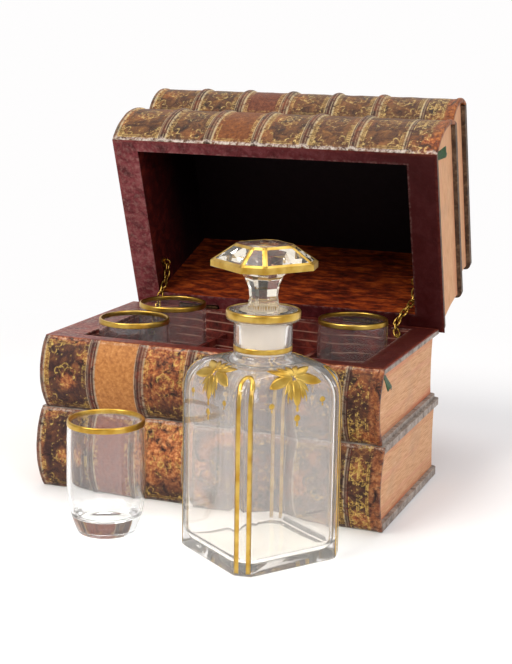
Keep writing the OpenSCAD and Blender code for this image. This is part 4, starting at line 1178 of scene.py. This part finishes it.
# %% [markdown]
# ## Ribbon markers
# A stub of green silk is left of each page marker. Silk ribbon is plain woven and frays at its cut end.
# The CAD model has a flat tab, and a strip that curls away from the pages stands for it here.

# %% Ribbon markers
silk, tree, shader = start_material("green_silk")
weave = add(tree, "TexNoise", {"Vector": book_point(tree), "Scale": per_mm(0.8), "Detail": 3})
weave = add(tree, "ValToRGB", {"Fac": weave}, [(0.35, "#152c12"), (0.65, "#35582c")])
plug(tree, shader, {"Base Color": weave, "Roughness": 0.55, "Sheen Weight": 0.1})


def ribbon_stub(node, root, way, body):
    """A strip from its root. Along it t runs from 0 to 1, and across it u does."""
    t, u = np.meshgrid(np.linspace(0, 1, 15), np.linspace(0, 1, 5), indexing="ij")
    fray = 1.1 * np.sin(9 * u + 1) * t**3
    out = 0.05 + 5.6 * t**0.7 + 0.4 * np.sin(6 * t + 3 * u) * t
    along = 0.1 + (5.8 + 1.2 * t) * u - 1.2 * t
    near = np.stack([out, along, way * (0.1 + 9.0 * t + fray)], -1) + root
    points, faces = thin_solid(near, near + (0.3, 0, 0))
    dress(piece_from(f"{node}_stub", points, faces, body), silk, node)
    print(node, len(points), "points")


ribbon_stub("base_ribbon", (112.0, -64.5, 98.4), -1, "base")
ribbon_stub("lid_ribbon", (116.0, -62.5, 105.6), 1, "lid")

# %% [markdown]
# ## Floor, lamps and world
# The photograph was taken on a white sweep of paper that runs out of sight behind the case. One large soft
# lamp hangs in front, above and to the left, a second fills from the right, and a third is above. The floor
# is plain paper near the case, so that it takes the shadows, and turns into white light further out, where
# a sweep would curve up.

# %% Paper sweep
sweep_paper, tree, shader = start_material("sweep_paper")
place = add(tree, "TexCoord").outputs["Object"]
pulp = add(tree, "TexNoise", {"Vector": place, "Scale": 3.0, "Detail": 1})
pulp = add(tree, "ValToRGB", {"Fac": pulp}, [(0.3, "#f8f7f7"), (0.7, "#fbfafa")])
plug(tree, shader, {"Base Color": pulp, "Roughness": 0.9, "Specular IOR Level": 0.1})
far = add(tree, "VectorMath", {0: place}, operation="LENGTH").outputs["Value"]
far = {"Value": far, 1: 0.2, 2: 0.62, 3: 0.0, 4: 1.0}
far = add(tree, "MapRange", far, interpolation_type="SMOOTHSTEP")


def seen_directly(tree, mirrored=1.0):
    """1 for rays from the camera or through glass, and 0 for rays that light things. Reflections count
    as much as mirrored says."""
    ray = add(tree, "LightPath").outputs
    glossy = add(tree, "Math", {0: ray["Is Glossy Ray"], 1: mirrored}, operation="MULTIPLY")
    first = add(tree, "Math", {0: ray["Is Camera Ray"], 1: glossy}, operation="MAXIMUM")
    return add(tree, "Math", {0: first, 1: ray["Is Transmission Ray"]}, operation="MAXIMUM")


fade = add(tree, "Math", {0: far, 1: seen_directly(tree)}, operation="MULTIPLY")
white = add(tree, "Emission", {"Color": "#fefdfd", "Strength": 1.0})
mixed = add(tree, "MixShader", {0: fade, 1: shader, 2: white})
plug(tree, tree.nodes["Material Output"], {"Surface": mixed})
bpy.ops.mesh.primitive_plane_add(size=8, location=(0, 0, -0.0004))
floor = bpy.context.object
floor.name = "paper_sweep"
floor.data.materials.append(sweep_paper)
print("floor:", floor.name)

# %% [markdown]
# ### Lamps
# All three are large disks, so that shadows are soft and the gold has broad highlights.


# %% Lamps
def lamp(name, at, aim, size, watts, colour):
    data = bpy.data.lights.new(name, "AREA")
    data.shape = "DISK"
    data.size = size
    data.energy = watts
    data.color = linear(colour)[:3]
    made = bpy.data.objects.new(name, data)
    bpy.context.scene.collection.objects.link(made)
    made.location = at
    made.rotation_euler = (Vector(aim) - Vector(at)).to_track_quat("-Z", "Y").to_euler()
    print(name, "lamp of", watts, "W")


lamp("key", (-0.8, -1.3, 1.8), (0, 0, 0.08), 1.2, 34, "#fffaf4")
lamp("fill", (1.7, -1.2, 1.1), (0, 0, 0.08), 1.2, 17, "#f8f9ff")
lamp("top", (0.1, 0.3, 2.0), (0, 0, 0.1), 1.4, 15, "#ffffff")

# %% [markdown]
# ### The room in reflections
# Gold and glass mirror the room. The wall behind the object is white, and the room in front of it, where
# the lamps stand, is dimmer, so reflections turn from white at the back to a mid grey at the front.

# %% World
world = bpy.data.worlds.new("studio")
world.use_nodes = True
bpy.context.scene.world = world
tree = world.node_tree
background = tree.nodes["Background"]
plug(tree, background, {"Color": "#f6f6f8", "Strength": 0.4})
white = add(tree, "Background", {"Color": "#fefdfd", "Strength": 1.0})
sky = add(tree, "SeparateXYZ", {0: add(tree, "TexCoord").outputs["Generated"]}).outputs["Y"]
behind = add(tree, "MapRange", {"Value": sky, 1: -0.1, 2: 0.6})
mixed = add(tree, "MixShader", {0: seen_directly(tree, behind), 1: background, 2: white})
plug(tree, tree.nodes["World Output"], {"Surface": mixed})
print("world:", world.name)
